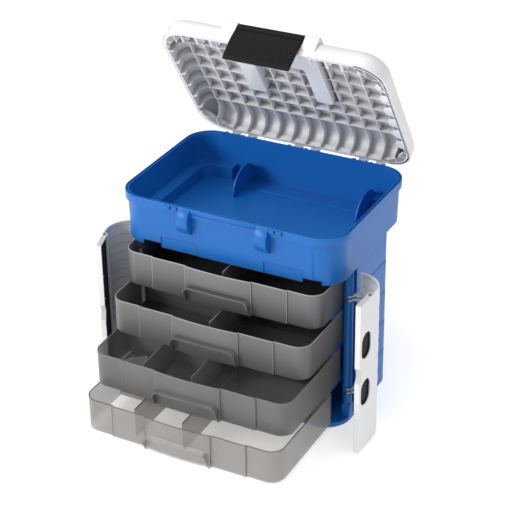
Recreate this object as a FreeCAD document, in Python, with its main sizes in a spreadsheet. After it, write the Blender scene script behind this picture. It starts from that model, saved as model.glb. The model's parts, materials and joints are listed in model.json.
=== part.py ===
import FreeCAD, Part
import math
import os

import Sketcher
from FreeCAD import Placement, Rotation, Vector

# Fishing tackle cabinet: an open bin with a ribbed lid on top, four drawers below it
# and two corner doors that fold round the drawer bay.  Millimetres, +Z up, the front
# faces -Y and the origin is the centre of the footprint, on the surface it stands on.

DRIVING_SIZES = {
    # bin and rim
    "rim_width": 400, "rim_depth": 282, "rim_height": 365, "rim_corner": 47,
    "rim_band": 14, "rim_lip": 4, "rim_ridge": 1.6, "rim_groove": 3,
    "bin_height": 85, "bin_wall": 2.6, "bin_inset": 2, "bin_skirt": 8,
    "groove_depth": 3, "hook_width": 21, "hook_drop": 46, "hook_reach": 11,
    "hook_set": 1, "hook_play": 1.5, "notch_left": 119, "notch_right": 136, "notch_width": 33,
    "notch_rise": 8, "panel_width": 68,
    "panel_rise": 21, "panel_recess": 0.8, "ledge_width": 20, "ledge_height": 22, "ledge_front": 70,
    "ledge_reach": 70, "fin_left": 88, "fin_right": 140, "fin_reach": 80, "fin_height": 43,
    "fin_back": 22, "ridge_set": 38, "ridge_width": 2.4, "ridge_height": 1.6,
    # lower body
    "bin_overhang": 59, "body_corner": 28, "body_wall": 2.6,
    "panel_pitch": 57.5, "panel_first": 65, "panel_groove": 1, "panel_step": 1.6, "flange_width": 11,
    "base_set": 25, "base_thickness": 5, "base_inset": 0.5, "base_rim_height": 3, "base_rim_width": 4,
    "post_inset": 7, "post_set": 70, "post_clear": 15, "post_radius": 7.5, "post_foot": 15,
    "post_foot_height": 24, "collar_height": 2.2, "collar_grow": 1.2, "spigot_radius": 4,
    "small_round": 2,
    # lid
    "lid_height": 38, "lid_edge": 24, "lid_wall": 2.6, "lid_gap": 0.6, "lid_open": 56.75,
    "hinge_behind": 3.4, "hinge_below": 19.7, "hinge_spacing": 121, "hinge_length": 60,
    "hinge_knuckle": 6, "hinge_pin": 2, "pin_clearance": 0.05, "knuckle_middle": 14, "knuckle_end": 6,
    "knuckle_gap": 0.3, "arm_wall": 5.5, "arm_rise": 9,
    "rib_pitch_across": 28, "rib_pitch_deep": 32.3, "rib_thickness": 1.6, "rib_depth": 12,
    "seal_gap": 1.2, "seal_width": 1.4, "seal_height": 5, "seal_set": 1.4, "flange_wall": 1.2,
    "flange_depth": 9,
    # carry handle in the lid
    "handle_set": 37, "handle_width": 142, "handle_bar": 24, "handle_leg": 20, "handle_height": 13,
    "handle_pivot": 2, "handle_play": 2.5, "handle_sink": 20, "handle_round": 5, "pivot_radius": 3,
    "trough_round": 5.5,
    # front clasp
    "clasp_width": 116, "clasp_drop": 34, "clasp_thickness": 4,
    "clasp_gap": 1.6, "clasp_bulge": 7, "clasp_pin": 2, "clasp_knuckle": 4.2, "clasp_pin_rise": 33,
    "clasp_pin_set": 1, "boss_width": 24, "boss_nose": 5.5, "boss_clearance": 2, "boss_foot": 8,
    "pin_grip": 12,
    # doors
    "door_corner": 45, "door_gap": 3, "door_bottom": 6, "door_skin": 2.4, "open_right": 88, "open_left": 72,
    "door_flat": 54, "door_box": 44, "door_box_depth": 9, "door_panel_pitch": 28.75,
    "door_hole_width": 32, "door_hole_height": 46, "door_hole_lower": 105, "door_hole_upper": 79,
    "door_stand_off": 5, "door_set": 6, "door_return": 3, "door_liner": 1.4,
    "door_opening": 34, "finger_notch": 20, "finger_notch_rise": 144, "finger_notch_set": 14,
    "clip_lower": 25, "clip_upper": 47, "clip_height": 3, "clip_pitch": 8, "clip_wall": 1.8,
    "neck_depth": 2, "neck_play": 0.3, "insert_set": 3.4, "insert_back": 6,
    "edge_web": 2, "edge_web_reach": 5, "edge_web_pitch": 42,
    # drawers
    "runner_room": 13.4, "drawer_gap": 7.5, "drawer_head": 6.5, "drawer_lift": 3, "drawer_wall": 2,
    "drawer_corner": 24, "drawer_rear_corner": 10, "drawer_set": 22, "drawer_round": 3,
    "drawer_step": 2, "drawer_centre": 120, "drawer_second": 244, "drawer_bow": 3, "drawer_behind": 2,
    "pull_reach": 10, "pull_rise": 30, "pull_wall": 2.6, "pull_round": 12, "pull_inset": 1,
    "divider_wall": 1.6, "divider_drop": 4,
    "runner_reach": 13, "runner_height": 2.7, "runner_set": 5, "runner_stop": 32,
    "runner_guide": 12, "guide_thickness": 2, "running_gap": 0.3,
    "pull_out_1": 41, "pull_out_2": 88, "pull_out_3": 150, "pull_out_4": 184,
}

document = FreeCAD.newDocument("tackle_cabinet")
sheet = document.addObject("Spreadsheet::Sheet", "Sheet")
for row, (alias, amount) in enumerate(DRIVING_SIZES.items(), start=1):
    sheet.set("A%d" % row, alias)
    sheet.set("B%d" % row, str(amount))
    sheet.setAlias("B%d" % row, alias)
document.recompute()


class Size:
    """A number read from the sheet, kept with the sheet formula that gives it."""

    def __init__(self, value, formula):
        self.value = float(value)
        self.formula = formula

    def __add__(self, other):
        other = as_size(other)
        return Size(self.value + other.value, "(%s + %s)" % (self.formula, other.formula))

    def __sub__(self, other):
        other = as_size(other)
        return Size(self.value - other.value, "(%s - %s)" % (self.formula, other.formula))

    def __mul__(self, other):
        other = as_size(other)
        return Size(self.value * other.value, "(%s * %s)" % (self.formula, other.formula))

    def __truediv__(self, other):
        other = as_size(other)
        return Size(self.value / other.value, "(%s / %s)" % (self.formula, other.formula))

    def __neg__(self):
        return Size(-self.value, "(0 - %s)" % self.formula)

    def __float__(self):
        return self.value

    def __radd__(self, other):
        return as_size(other) + self

    def __rsub__(self, other):
        return as_size(other) - self

    def __rmul__(self, other):
        return as_size(other) * self


def as_size(number):
    """The number itself when it is a Size, else a plain number as one."""
    if isinstance(number, Size):
        return number
    return Size(number, repr(float(number)))


def cell(alias):
    """The driving size of that name."""
    return Size(getattr(sheet, alias), "Sheet.%s" % alias)


def slope(rise, run):
    """The angle of a face that moves out by rise over a height of run."""
    angle = math.degrees(math.atan2(float(rise), float(run)))
    return Size(angle, "atan(%s / %s)" % (as_size(rise).formula, as_size(run).formula))


def draft_shift(draft, height):
    """How far a drafted wall moves out over that height."""
    return Size(height.value * math.tan(math.radians(draft.value)),
                "(%s * tan(%s))" % (height.formula, draft.formula))


sub_parts = []


def bind(feature, **sizes):
    """Set a feature's sizes, and tie each of them to its formula."""
    for name, amount in sizes.items():
        amount = as_size(amount)
        setattr(feature, name, amount.value)
        feature.setExpression(name, amount.formula)


def new_body(label):
    body = document.addObject("PartDesign::Body", label)
    body.Label = label
    sub_parts.append(body)
    return body


def new_sketch(body, role, lift=0):
    """A sketch on one of the body's own planes, or lifted off it along its normal."""
    drawing = body.newObject("Sketcher::SketchObject", body.Label + "_sketch")
    plane = next(item for item in body.Origin.OriginFeatures if item.Role == role)
    drawing.AttachmentSupport = (plane, "")
    drawing.MapMode = "FlatFace"
    lift = as_size(lift)
    drawing.AttachmentOffset = Placement(Vector(0, 0, lift.value), Rotation())
    drawing.setExpression("AttachmentOffset.Base.z", lift.formula)
    return drawing


def place_point(drawing, edge, end, across, up):
    """Hold one point of a sketch at its distances from the sketch's origin."""
    for kind, amount in (("DistanceX", as_size(across)), ("DistanceY", as_size(up))):
        rule = Sketcher.Constraint(kind, -1, 1, edge, end, amount.value)
        number = drawing.addConstraint(rule)
        drawing.setExpression("Constraints[%d]" % number, amount.formula)


def add_outline(drawing, corners):
    """A closed outline.  A corner of four numbers starts an arc through its last two."""
    first = drawing.GeometryCount
    count = len(corners)
    edges = []
    for here, there in zip(corners, corners[1:] + corners[:1]):
        start = Vector(float(here[0]), float(here[1]), 0)
        finish = Vector(float(there[0]), float(there[1]), 0)
        if len(here) == 4:
            edges.append(Part.Arc(start, Vector(float(here[2]), float(here[3]), 0), finish))
        else:
            edges.append(Part.LineSegment(start, finish))
    drawing.addGeometry(edges, False)
    ends = []
    for number, edge in enumerate(edges):
        # an arc drawn clockwise is kept by the sketcher with its ends exchanged
        start = Vector(float(corners[number][0]), float(corners[number][1]), 0)
        kept = drawing.getPoint(first + number, 1)
        ends.append((1, 2) if kept.distanceToPoint(start) < 1e-6 else (2, 1))
    for number in range(count):
        after = (number + 1) % count
        drawing.addConstraint(Sketcher.Constraint(
            "Coincident", first + number, ends[number][1], first + after, ends[after][0]))
    for number, corner in enumerate(corners):
        place_point(drawing, first + number, ends[number][0], corner[0], corner[1])
        if len(corner) == 4:
            middle = drawing.addGeometry(Part.Point(Vector(float(corner[2]), float(corner[3]), 0)), True)
            place_point(drawing, middle, 1, corner[2], corner[3])
            drawing.addConstraint(Sketcher.Constraint("PointOnObject", middle, 1, first + number))


def add_rounded(drawing, left, right, front, back, radius, back_radius=None):
    """A closed rectangle with rounded corners, whose back corners may be rounder."""
    far = radius if back_radius is None else back_radius
    x1, x2, y1, y2, r1, r2 = (float(amount) for amount in (left, right, front, back, radius, far))
    first = drawing.GeometryCount
    lines = [((x1 + r1, y1), (x2 - r1, y1)), ((x2, y1 + r1), (x2, y2 - r2)),
             ((x2 - r2, y2), (x1 + r2, y2)), ((x1, y2 - r2), (x1, y1 + r1))]
    drawing.addGeometry([Part.LineSegment(Vector(*a, 0), Vector(*b, 0)) for a, b in lines], False)
    corners = [(x2 - r1, y1 + r1, r1, -90), (x2 - r2, y2 - r2, r2, 0),
               (x1 + r2, y2 - r2, r2, 90), (x1 + r1, y1 + r1, r1, 180)]
    for x, y, r, turn in corners:
        circle = Part.Circle(Vector(x, y, 0), Vector(0, 0, 1), r)
        drawing.addGeometry(Part.ArcOfCircle(circle, math.radians(turn), math.radians(turn + 90)), False)
    for side in range(4):
        line, arc, after = first + side, first + 4 + side, first + (side + 1) % 4
        drawing.addConstraint(Sketcher.Constraint("Tangent", line, 2, arc, 1))
        drawing.addConstraint(Sketcher.Constraint("Tangent", arc, 2, after, 1))
    drawing.addConstraint([
        Sketcher.Constraint("Horizontal", first), Sketcher.Constraint("Horizontal", first + 2),
        Sketcher.Constraint("Vertical", first + 1), Sketcher.Constraint("Vertical", first + 3),
        Sketcher.Constraint("Equal", first + 4, first + 7),
        Sketcher.Constraint("Equal", first + 5, first + 6)])
    for arc, amount in ((first + 4, as_size(radius)), (first + 5, as_size(far))):
        number = drawing.addConstraint(Sketcher.Constraint("Radius", arc, amount.value))
        drawing.setExpression("Constraints[%d]" % number, amount.formula)
    for kind, edge, amount in (("DistanceX", first + 1, right), ("DistanceX", first + 3, left),
                               ("DistanceY", first, front), ("DistanceY", first + 2, back)):
        amount = as_size(amount)
        number = drawing.addConstraint(Sketcher.Constraint(kind, -1, 1, edge, 1, amount.value))
        drawing.setExpression("Constraints[%d]" % number, amount.formula)


def add_circle(drawing, across, up, radius):
    centre = Vector(float(across), float(up), 0)
    edge = drawing.addGeometry(Part.Circle(centre, Vector(0, 0, 1), float(radius)), False)
    place_point(drawing, edge, 3, across, up)
    amount = as_size(radius)
    number = drawing.addConstraint(Sketcher.Constraint("Radius", edge, amount.value))
    drawing.setExpression("Constraints[%d]" % number, amount.formula)


def pad(body, drawing, length, taper=None, flip=False, both_ways=False):
    """Grow the body from a sketch along its normal."""
    feature = body.newObject("PartDesign::Pad", body.Label + "_pad")
    feature.Profile = drawing
    feature.Reversed = flip
    feature.Midplane = both_ways
    bind(feature, Length=length)
    if taper is not None:
        bind(feature, TaperAngle=taper)
    document.recompute()
    drawing.Visibility = False
    return feature


def pocket(body, drawing, depth, taper=None, flip=False, both_ways=False):
    """Cut into the body from a sketch, against its normal unless flipped."""
    before = body.Shape.Volume
    feature = body.newObject("PartDesign::Pocket", body.Label + "_pocket")
    feature.Profile = drawing
    feature.Reversed = flip
    feature.Midplane = both_ways
    bind(feature, Length=depth)
    if taper is not None:
        bind(feature, TaperAngle=taper)
    document.recompute()
    if body.Shape.Volume >= before:
        raise ValueError("a pocket of %s removed nothing" % body.Label)
    return feature


def fillet(body, base, radius, wanted):
    """Round the edges of the body's last feature that the test picks."""
    names = ["Edge%d" % number for number, edge in enumerate(base.Shape.Edges, start=1) if wanted(edge)]
    feature = body.newObject("PartDesign::Fillet", body.Label + "_fillet")
    feature.Base = (base, names)
    bind(feature, Radius=radius)
    document.recompute()
    return feature


def repeat(body, features, role, length, occurrences):
    """Repeat features in a row along one of the body's own axes."""
    row_feature = body.newObject("PartDesign::LinearPattern", body.Label + "_row")
    row_feature.Originals = features
    axis = next(item for item in body.Origin.OriginFeatures if item.Role == role)
    row_feature.Direction = (axis, [""])
    bind(row_feature, Length=length)
    row_feature.Occurrences = occurrences
    body.Tip = row_feature
    document.recompute()
    return row_feature


def put(body, x=0, y=0, z=0, turn_axis=None, turn=0):
    """Place a body, turned about an axis through its own origin."""
    spots = [as_size(x), as_size(y), as_size(z)]
    turn = as_size(turn)
    axis = turn_axis or Vector(0, 0, 1)
    body.Placement = Placement(Vector(*[spot.value for spot in spots]), Rotation(axis, turn.value))
    for letter, spot in zip("xyz", spots):
        body.setExpression("Placement.Base.%s" % letter, spot.formula)
    if turn_axis is not None:
        body.setExpression("Placement.Rotation.Angle", "%s * 1 deg" % turn.formula)


# Heights and half sizes that several pieces share
half_width = cell("rim_width") / 2
half_depth = cell("rim_depth") / 2
rim_top = cell("rim_height")
bin_bottom = cell("rim_height") - cell("bin_height")
body_half = half_width - cell("rim_lip") - cell("bin_inset")
body_back = half_depth - cell("bin_overhang")
base_top = cell("base_rim_height") + cell("base_thickness")
post_x = body_half - cell("post_inset")
post_y = -(half_depth - cell("post_set"))
body_front = post_y + cell("post_clear")
clip_heights = (base_top + cell("post_foot_height") + cell("clip_lower"),
                bin_bottom - cell("clip_upper"))
drawer_half = body_half - cell("body_wall") - cell("runner_room")
drawer_front = -(half_depth - cell("drawer_set"))
drawer_first = base_top + cell("drawer_lift")
drawer_pitch = (bin_bottom - cell("drawer_head") - drawer_first + cell("drawer_gap")) / 4
drawer_height = drawer_pitch - cell("drawer_gap")
hook_centre = cell("clasp_width") / 2 + cell("hook_play") + cell("hook_width") / 2
hinge_y = half_depth + cell("hinge_behind")
hinge_z = rim_top - cell("hinge_below")
SIDES = {"right": 1, "left": -1}
UPWARD = Vector(0, 0, 1)
# where the middle of a quarter round lies, as a share of its radius from the centre
DIAGONAL = math.sqrt(0.5)


def ledge_outline(drawing, side, inset):
    """The plan of the hollow ledge that follows a rear corner inside the bin."""
    wall = cell("bin_wall")
    set_in = cell("rim_lip") + cell("bin_inset") + wall
    near = set_in - wall / 2 + inset / 2
    far = set_in + cell("ledge_width") - inset
    bend, inner_bend = cell("rim_corner") - near, cell("rim_corner") - far
    front = inset - cell("ledge_front")
    end = half_width - set_in - cell("ledge_reach") + inset
    outer_x, outer_y = half_width - near, half_depth - near
    inner_x, inner_y = half_width - far, half_depth - far
    short, inner_short = bend * (1 - DIAGONAL), inner_bend * (1 - DIAGONAL)
    add_outline(drawing, [
        (side * outer_x, front),
        (side * outer_x, outer_y - bend, side * (outer_x - short), outer_y - short),
        (side * (outer_x - bend), outer_y), (side * end, outer_y), (side * end, inner_y),
        (side * (inner_x - inner_bend), inner_y, side * (inner_x - inner_short), inner_y - inner_short),
        (side * inner_x, inner_y - inner_bend), (side * inner_x, front)])


def upper_bin():
    """The open bin: drafted walls, a banded rim with a groove, hooks and hinge knuckles."""
    body = new_body("upper_bin")
    wall = cell("bin_wall")
    bottom_x = half_width - cell("rim_lip") - cell("bin_inset")
    bottom_y = half_depth - cell("rim_lip") - cell("bin_inset")
    bottom_corner = cell("rim_corner") - cell("rim_lip") - cell("bin_inset")
    draft = slope(cell("bin_inset"), cell("bin_height") - cell("rim_band"))
    outside = new_sketch(body, "XY_Plane", bin_bottom)
    add_rounded(outside, -bottom_x, bottom_x, -bottom_y, bottom_y, bottom_corner)
    pad(body, outside, cell("bin_height"), taper=draft)
    band = new_sketch(body, "XY_Plane", rim_top - cell("rim_band"))
    add_rounded(band, -half_width, half_width, -half_depth, half_depth, cell("rim_corner"))
    pad(body, band, cell("rim_band"))
    # the hooks are moulded on before the inside is cut
    for side in SIDES.values():
        hook = new_sketch(body, "YZ_Plane", side * hook_centre)
        inner = -(half_depth - cell("rim_lip"))
        outer = -(half_depth + cell("hook_reach"))
        add_outline(hook, [
            (inner, rim_top - cell("hook_drop")),
            (inner, rim_top - cell("hook_set")),
            (-half_depth, rim_top - cell("hook_set"), outer, rim_top - cell("hook_drop") / 2),
            (inner - cell("hook_set"), rim_top - cell("hook_drop"))])
        pad(body, hook, cell("hook_width"), both_ways=True)
    knuckles = []
    radius = cell("hinge_knuckle")
    root = half_depth - cell("rim_lip") - cell("small_round")
    end = (cell("hinge_length") - cell("knuckle_end")) / 2
    for start, length in ((0, "knuckle_middle"), (end, "knuckle_end"), (-end, "knuckle_end")):
        bracket = new_sketch(body, "YZ_Plane", start - cell("hinge_spacing"))
        add_outline(bracket, [
            (root, hinge_z - radius), (hinge_y, hinge_z - radius, hinge_y + radius, hinge_z),
            (hinge_y, hinge_z + radius), (root, hinge_z + radius)])
        add_circle(bracket, hinge_y, hinge_z, cell("hinge_pin"))
        knuckles.append(pad(body, bracket, cell(length), both_ways=True))
    repeat(body, knuckles, "X_Axis", 2 * cell("hinge_spacing"), 3)
    inside = new_sketch(body, "XY_Plane", bin_bottom + cell("bin_skirt") + wall)
    lift = draft_shift(draft, cell("bin_skirt") + wall)
    add_rounded(inside, wall - bottom_x - lift, bottom_x - wall + lift,
                wall - bottom_y - lift, bottom_y - wall + lift, bottom_corner - wall)
    pocket(body, inside, cell("bin_height") - cell("bin_skirt") - wall, taper=draft, flip=True)
    skirt = new_sketch(body, "XY_Plane", bin_bottom)
    add_rounded(skirt, wall - bottom_x, bottom_x - wall, wall - bottom_y, bottom_y - wall,
                bottom_corner - wall)
    pocket(body, skirt, cell("bin_skirt"), flip=True)
    groove = new_sketch(body, "XY_Plane", rim_top)
    for inset in (cell("rim_ridge"), cell("rim_ridge") + cell("rim_groove")):
        add_rounded(groove, inset - half_width, half_width - inset, inset - half_depth,
                    half_depth - inset, cell("rim_corner") - inset)
    pocket(body, groove, cell("groove_depth"))
    for name, side in SIDES.items():
        notch = new_sketch(body, "XZ_Plane", bottom_y - 2 * wall)
        start = side * cell("notch_%s" % name)
        finish = start + side * cell("notch_width")
        add_outline(notch, [(start, bin_bottom - wall), (finish, bin_bottom - wall),
                            (finish, bin_bottom + cell("notch_rise")),
                            (start, bin_bottom + cell("notch_rise"))])
        pocket(body, notch, 4 * wall, flip=True)
        # beside each notch the front wall is set back a little, up to a step
        inner_end = start - side * cell("panel_width")
        panel = new_sketch(body, "XZ_Plane", bottom_y - cell("panel_recess"))
        add_outline(panel, [(start, bin_bottom - wall), (inner_end, bin_bottom - wall),
                            (inner_end, bin_bottom + cell("panel_rise")),
                            (start, bin_bottom + cell("panel_rise"))])
        pocket(body, panel, wall, flip=True)
    # behind the cabinet the skirt ends, and the cabinet's back rises to the bin's floor
    rear = new_sketch(body, "XY_Plane", bin_bottom)
    rear_start = body_back - cell("body_corner")
    add_outline(rear, [(-half_width, rear_start), (half_width, rear_start),
                       (half_width, half_depth), (-half_width, half_depth)])
    pocket(body, rear, cell("bin_skirt"), flip=True)
    floor = bin_bottom + cell("bin_skirt") + wall
    for side in SIDES.values():
        ledge = new_sketch(body, "XY_Plane", floor)
        ledge_outline(ledge, side, as_size(0))
        pad(body, ledge, cell("ledge_height"))
        hollow = new_sketch(body, "XY_Plane", bin_bottom + cell("bin_skirt"))
        ledge_outline(hollow, side, wall)
        pocket(body, hollow, cell("ledge_height"), flip=True)
    back = bottom_y - wall / 2
    tip = bottom_y - wall - cell("fin_reach")
    for place in (-cell("fin_left"), cell("fin_right")):
        fin = new_sketch(body, "YZ_Plane", place)
        add_outline(fin, [
            (tip, floor - wall / 2), (tip, floor, tip + cell("fin_height"), floor + cell("fin_height")),
            (back, floor + cell("fin_back")), (back, floor - wall / 2)])
        pad(body, fin, wall, both_ways=True)
    ridge = new_sketch(body, "XY_Plane", floor - wall / 2)
    ridge_y = bottom_y - cell("ridge_set")
    ridge_end = ridge_y + cell("ridge_width")
    add_outline(ridge, [(-cell("fin_left"), ridge_y), (cell("fin_right"), ridge_y),
                        (cell("fin_right"), ridge_end), (-cell("fin_left"), ridge_end)])
    pad(body, ridge, cell("ridge_height") + wall / 2)
    return body


def cabinet_shell():
    """The sides and back round the drawer bay, with returns at the front edges."""
    body = new_body("cabinet_shell")
    wall = cell("body_wall")
    flange = cell("flange_width")
    plan = new_sketch(body, "XY_Plane", base_top)
    inner = body_half - wall
    add_outline(plan, [
        (-body_half, body_front), (flange - body_half, body_front),
        (flange - body_half, body_front + wall), (-inner, body_front + wall),
        (-inner, body_back - wall), (inner, body_back - wall),
        (inner, body_front + wall), (body_half - flange, body_front + wall),
        (body_half - flange, body_front), (body_half, body_front),
        (body_half, body_back), (-body_half, body_back)])
    walls = pad(body, plan, bin_bottom - base_top)

    def upright_at(edge, x, y):
        box = edge.BoundBox
        return (box.XLength < 0.01 and box.YLength < 0.01 and abs(abs(box.XMin) - x) < 0.01
                and abs(box.YMin - y) < 0.01)
    rounded = fillet(body, walls, cell("body_corner"),
                     lambda edge: upright_at(edge, body_half.value, body_back.value))
    fillet(body, rounded, cell("body_corner") - wall,
           lambda edge: upright_at(edge, inner.value, (body_back - wall).value))
    # the back and its corners go on up to the bin's floor
    bend = cell("body_corner")
    short = bend * (1 - DIAGONAL)
    inner_short = (bend - wall) * (1 - DIAGONAL)
    rise = new_sketch(body, "XY_Plane", bin_bottom)
    add_outline(rise, [
        (body_half, body_back - bend, body_half - short, body_back - short),
        (body_half - bend, body_back),
        (bend - body_half, body_back, short - body_half, body_back - short),
        (-body_half, body_back - bend),
        (-inner, body_back - bend, inner_short - inner, body_back - wall - inner_short),
        (bend - body_half, body_back - wall),
        (body_half - bend, body_back - wall, inner - inner_short, body_back - wall - inner_short),
        (inner, body_back - bend)])
    pad(body, rise, cell("bin_skirt"))
    ring = new_sketch(body, "XY_Plane", cell("panel_first"))
    bend = cell("small_round")
    for grow, front in ((bend, 2 * bend), (-cell("panel_groove"), bend)):
        add_rounded(ring, -(body_half + grow), body_half + grow, body_front - front, body_back + grow,
                    bend / 2, cell("body_corner") + grow)
    groove = pocket(body, ring, cell("panel_step"))
    steps = int(float((bin_bottom - cell("panel_first")) / cell("panel_pitch")))
    repeat(body, [groove], "Z_Axis", steps * cell("panel_pitch"), steps + 1)
    return body


def base_tray():
    """The floor of the bay on a standing rim, with a tongue under the doors and post blocks."""
    body = new_body("base_tray")
    half = body_half - cell("base_inset")
    front = cell("base_set") - half_depth
    bend = cell("small_round")
    rim = cell("base_rim_width")
    tongue = new_sketch(body, "XY_Plane")
    add_rounded(tongue, -half, half, front, 0, cell("door_corner"), bend)
    pad(body, tongue, base_top)
    rear = new_sketch(body, "XY_Plane")
    add_rounded(rear, -body_half, body_half, body_front, body_back, bend, cell("body_corner"))
    pad(body, rear, base_top)
    # the underside is hollowed up to the floor plate, so the tray stands on its rim
    hollow = new_sketch(body, "XY_Plane")
    add_rounded(hollow, rim - half, half - rim, front + rim, 0, cell("door_corner") - rim, bend)
    pocket(body, hollow, cell("base_rim_height"), flip=True)
    rear_hollow = new_sketch(body, "XY_Plane")
    add_rounded(rear_hollow, rim - body_half, body_half - rim, body_front + rim, body_back - rim,
                bend, cell("body_corner") - rim)
    pocket(body, rear_hollow, cell("base_rim_height"), flip=True)
    for side in SIDES.values():
        block = new_sketch(body, "XY_Plane", base_top)
        reach = cell("post_foot") / 2
        centre = side * post_x
        add_rounded(block, centre - reach, centre + reach, post_y - reach, post_y + reach, bend)
        pad(body, block, cell("post_foot_height"))
    return body


def hinge_post(name, side):
    """A turned post with necks for the door's clips and a spigot up into the bin."""
    body = new_body("hinge_post_%s" % name)
    radius = cell("post_radius")
    neck = radius - cell("neck_depth")
    half_neck = (cell("clip_pitch") + cell("clip_height")) / 2 + cell("neck_play")
    outline = [(0, base_top + cell("post_foot_height")), (radius, base_top + cell("post_foot_height"))]
    collar = radius + cell("collar_grow")
    for centre in clip_heights:
        low, high = centre - half_neck, centre + half_neck
        foot, head = low - cell("collar_height"), high + cell("collar_height")
        outline += [(radius, foot), (collar, foot), (collar, low), (neck, low), (neck, high),
                    (collar, high), (collar, head), (radius, head)]
    spigot = cell("spigot_radius")
    outline += [(radius, bin_bottom), (spigot, bin_bottom),
                (spigot, bin_bottom + cell("bin_skirt")), (0, bin_bottom + cell("bin_skirt"))]
    drawing = new_sketch(body, "XZ_Plane")
    add_outline(drawing, outline)
    turned = body.newObject("PartDesign::Revolution", body.Label + "_turned")
    turned.Profile = drawing
    axis = next(item for item in body.Origin.OriginFeatures if item.Role == "Z_Axis")
    turned.ReferenceAxis = (axis, [""])
    turned.Angle = 360
    document.recompute()
    put(body, side * post_x, post_y)
    return body


def drawer_bottom(level):
    """The height of a drawer's underside, counted up from the lowest."""
    return drawer_first + level * drawer_pitch


def drawer_runner(name, side, level):
    """A ledge from the side wall, with a guide beside the drawer and a tongue in front."""
    body = new_body("runner_%s_%d" % (name, 4 - level))
    half = drawer_half
    top = drawer_bottom(level) - cell("running_gap")
    bottom = top - cell("runner_height")
    wall = body_half - cell("body_wall")
    reach = half - cell("runner_reach")
    plan = new_sketch(body, "XY_Plane", bottom)
    inner_front = body_front + cell("body_wall")
    runner_back = body_back - cell("runner_stop")
    runner_front = drawer_front + cell("runner_set")
    add_outline(plan, [
        (side * reach, runner_front), (side * half, runner_front),
        (side * half, inner_front), (side * wall, inner_front),
        (side * wall, runner_back), (side * reach, runner_back)])
    pad(body, plan, cell("runner_height"))
    guide = new_sketch(body, "XY_Plane", top)
    near = half + cell("running_gap")
    far = near + cell("guide_thickness")
    add_outline(guide, [
        (side * near, inner_front), (side * far, inner_front),
        (side * far, runner_back), (side * near, runner_back)])
    pad(body, guide, cell("runner_guide"))
    return body


# The lid, its clasp and its handle are drawn about the lid's hinge line
lid_bottom = cell("hinge_below") + cell("lid_gap")
lid_top = lid_bottom + cell("lid_height")
lid_back = -cell("hinge_behind")
lid_front = -(cell("hinge_behind") + cell("rim_depth"))
lid_middle = -(cell("hinge_behind") + half_depth)
pivot_z = lid_top - cell("handle_sink") + cell("handle_play") + cell("handle_height") / 2
pivot_length = cell("handle_leg") + 2 * cell("handle_play") + 2 * cell("lid_wall")
clasp_y = lid_front + cell("clasp_pin_set")
clasp_z = lid_bottom + cell("clasp_pin_rise")
clasp_half = cell("clasp_width") / 2 + cell("boss_clearance")


def put_on_lid(body):
    """Turn a piece of the lid up about the hinge line."""
    put(body, 0, hinge_y, hinge_z, Vector(-1, 0, 0), cell("lid_open"))


def handle_outline(drawing, grow):
    """The plan of the handle, grown all round: a bar in front and a leg at each side."""
    outer = cell("handle_width") / 2 + grow
    inner = cell("handle_width") / 2 - cell("handle_leg") - grow
    front = lid_front + cell("handle_set") - grow
    bar_back = lid_front + cell("handle_set") + cell("handle_bar") + grow
    leg_back = lid_middle + cell("handle_pivot") + cell("handle_height") / 2 + grow
    bend = cell("trough_round")
    short = bend * (1 - DIAGONAL)
    add_outline(drawing, [
        (bend - outer, front), (outer - bend, front, outer - short, front + short), (outer, front + bend),
        (outer, leg_back - bend, outer - short, leg_back - short), (outer - bend, leg_back),
        (inner + bend, leg_back, inner + short, leg_back - short), (inner, leg_back - bend),
        (inner, bar_back + bend, inner - short, bar_back + short), (inner - bend, bar_back),
        (bend - inner, bar_back, short - inner, bar_back + short), (-inner, bar_back + bend),
        (-inner, leg_back - bend, -inner - short, leg_back - short), (-inner - bend, leg_back),
        (bend - outer, leg_back, short - outer, leg_back - short), (-outer, leg_back - bend),
        (-outer, front + bend, short - outer, front + short)])


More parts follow.
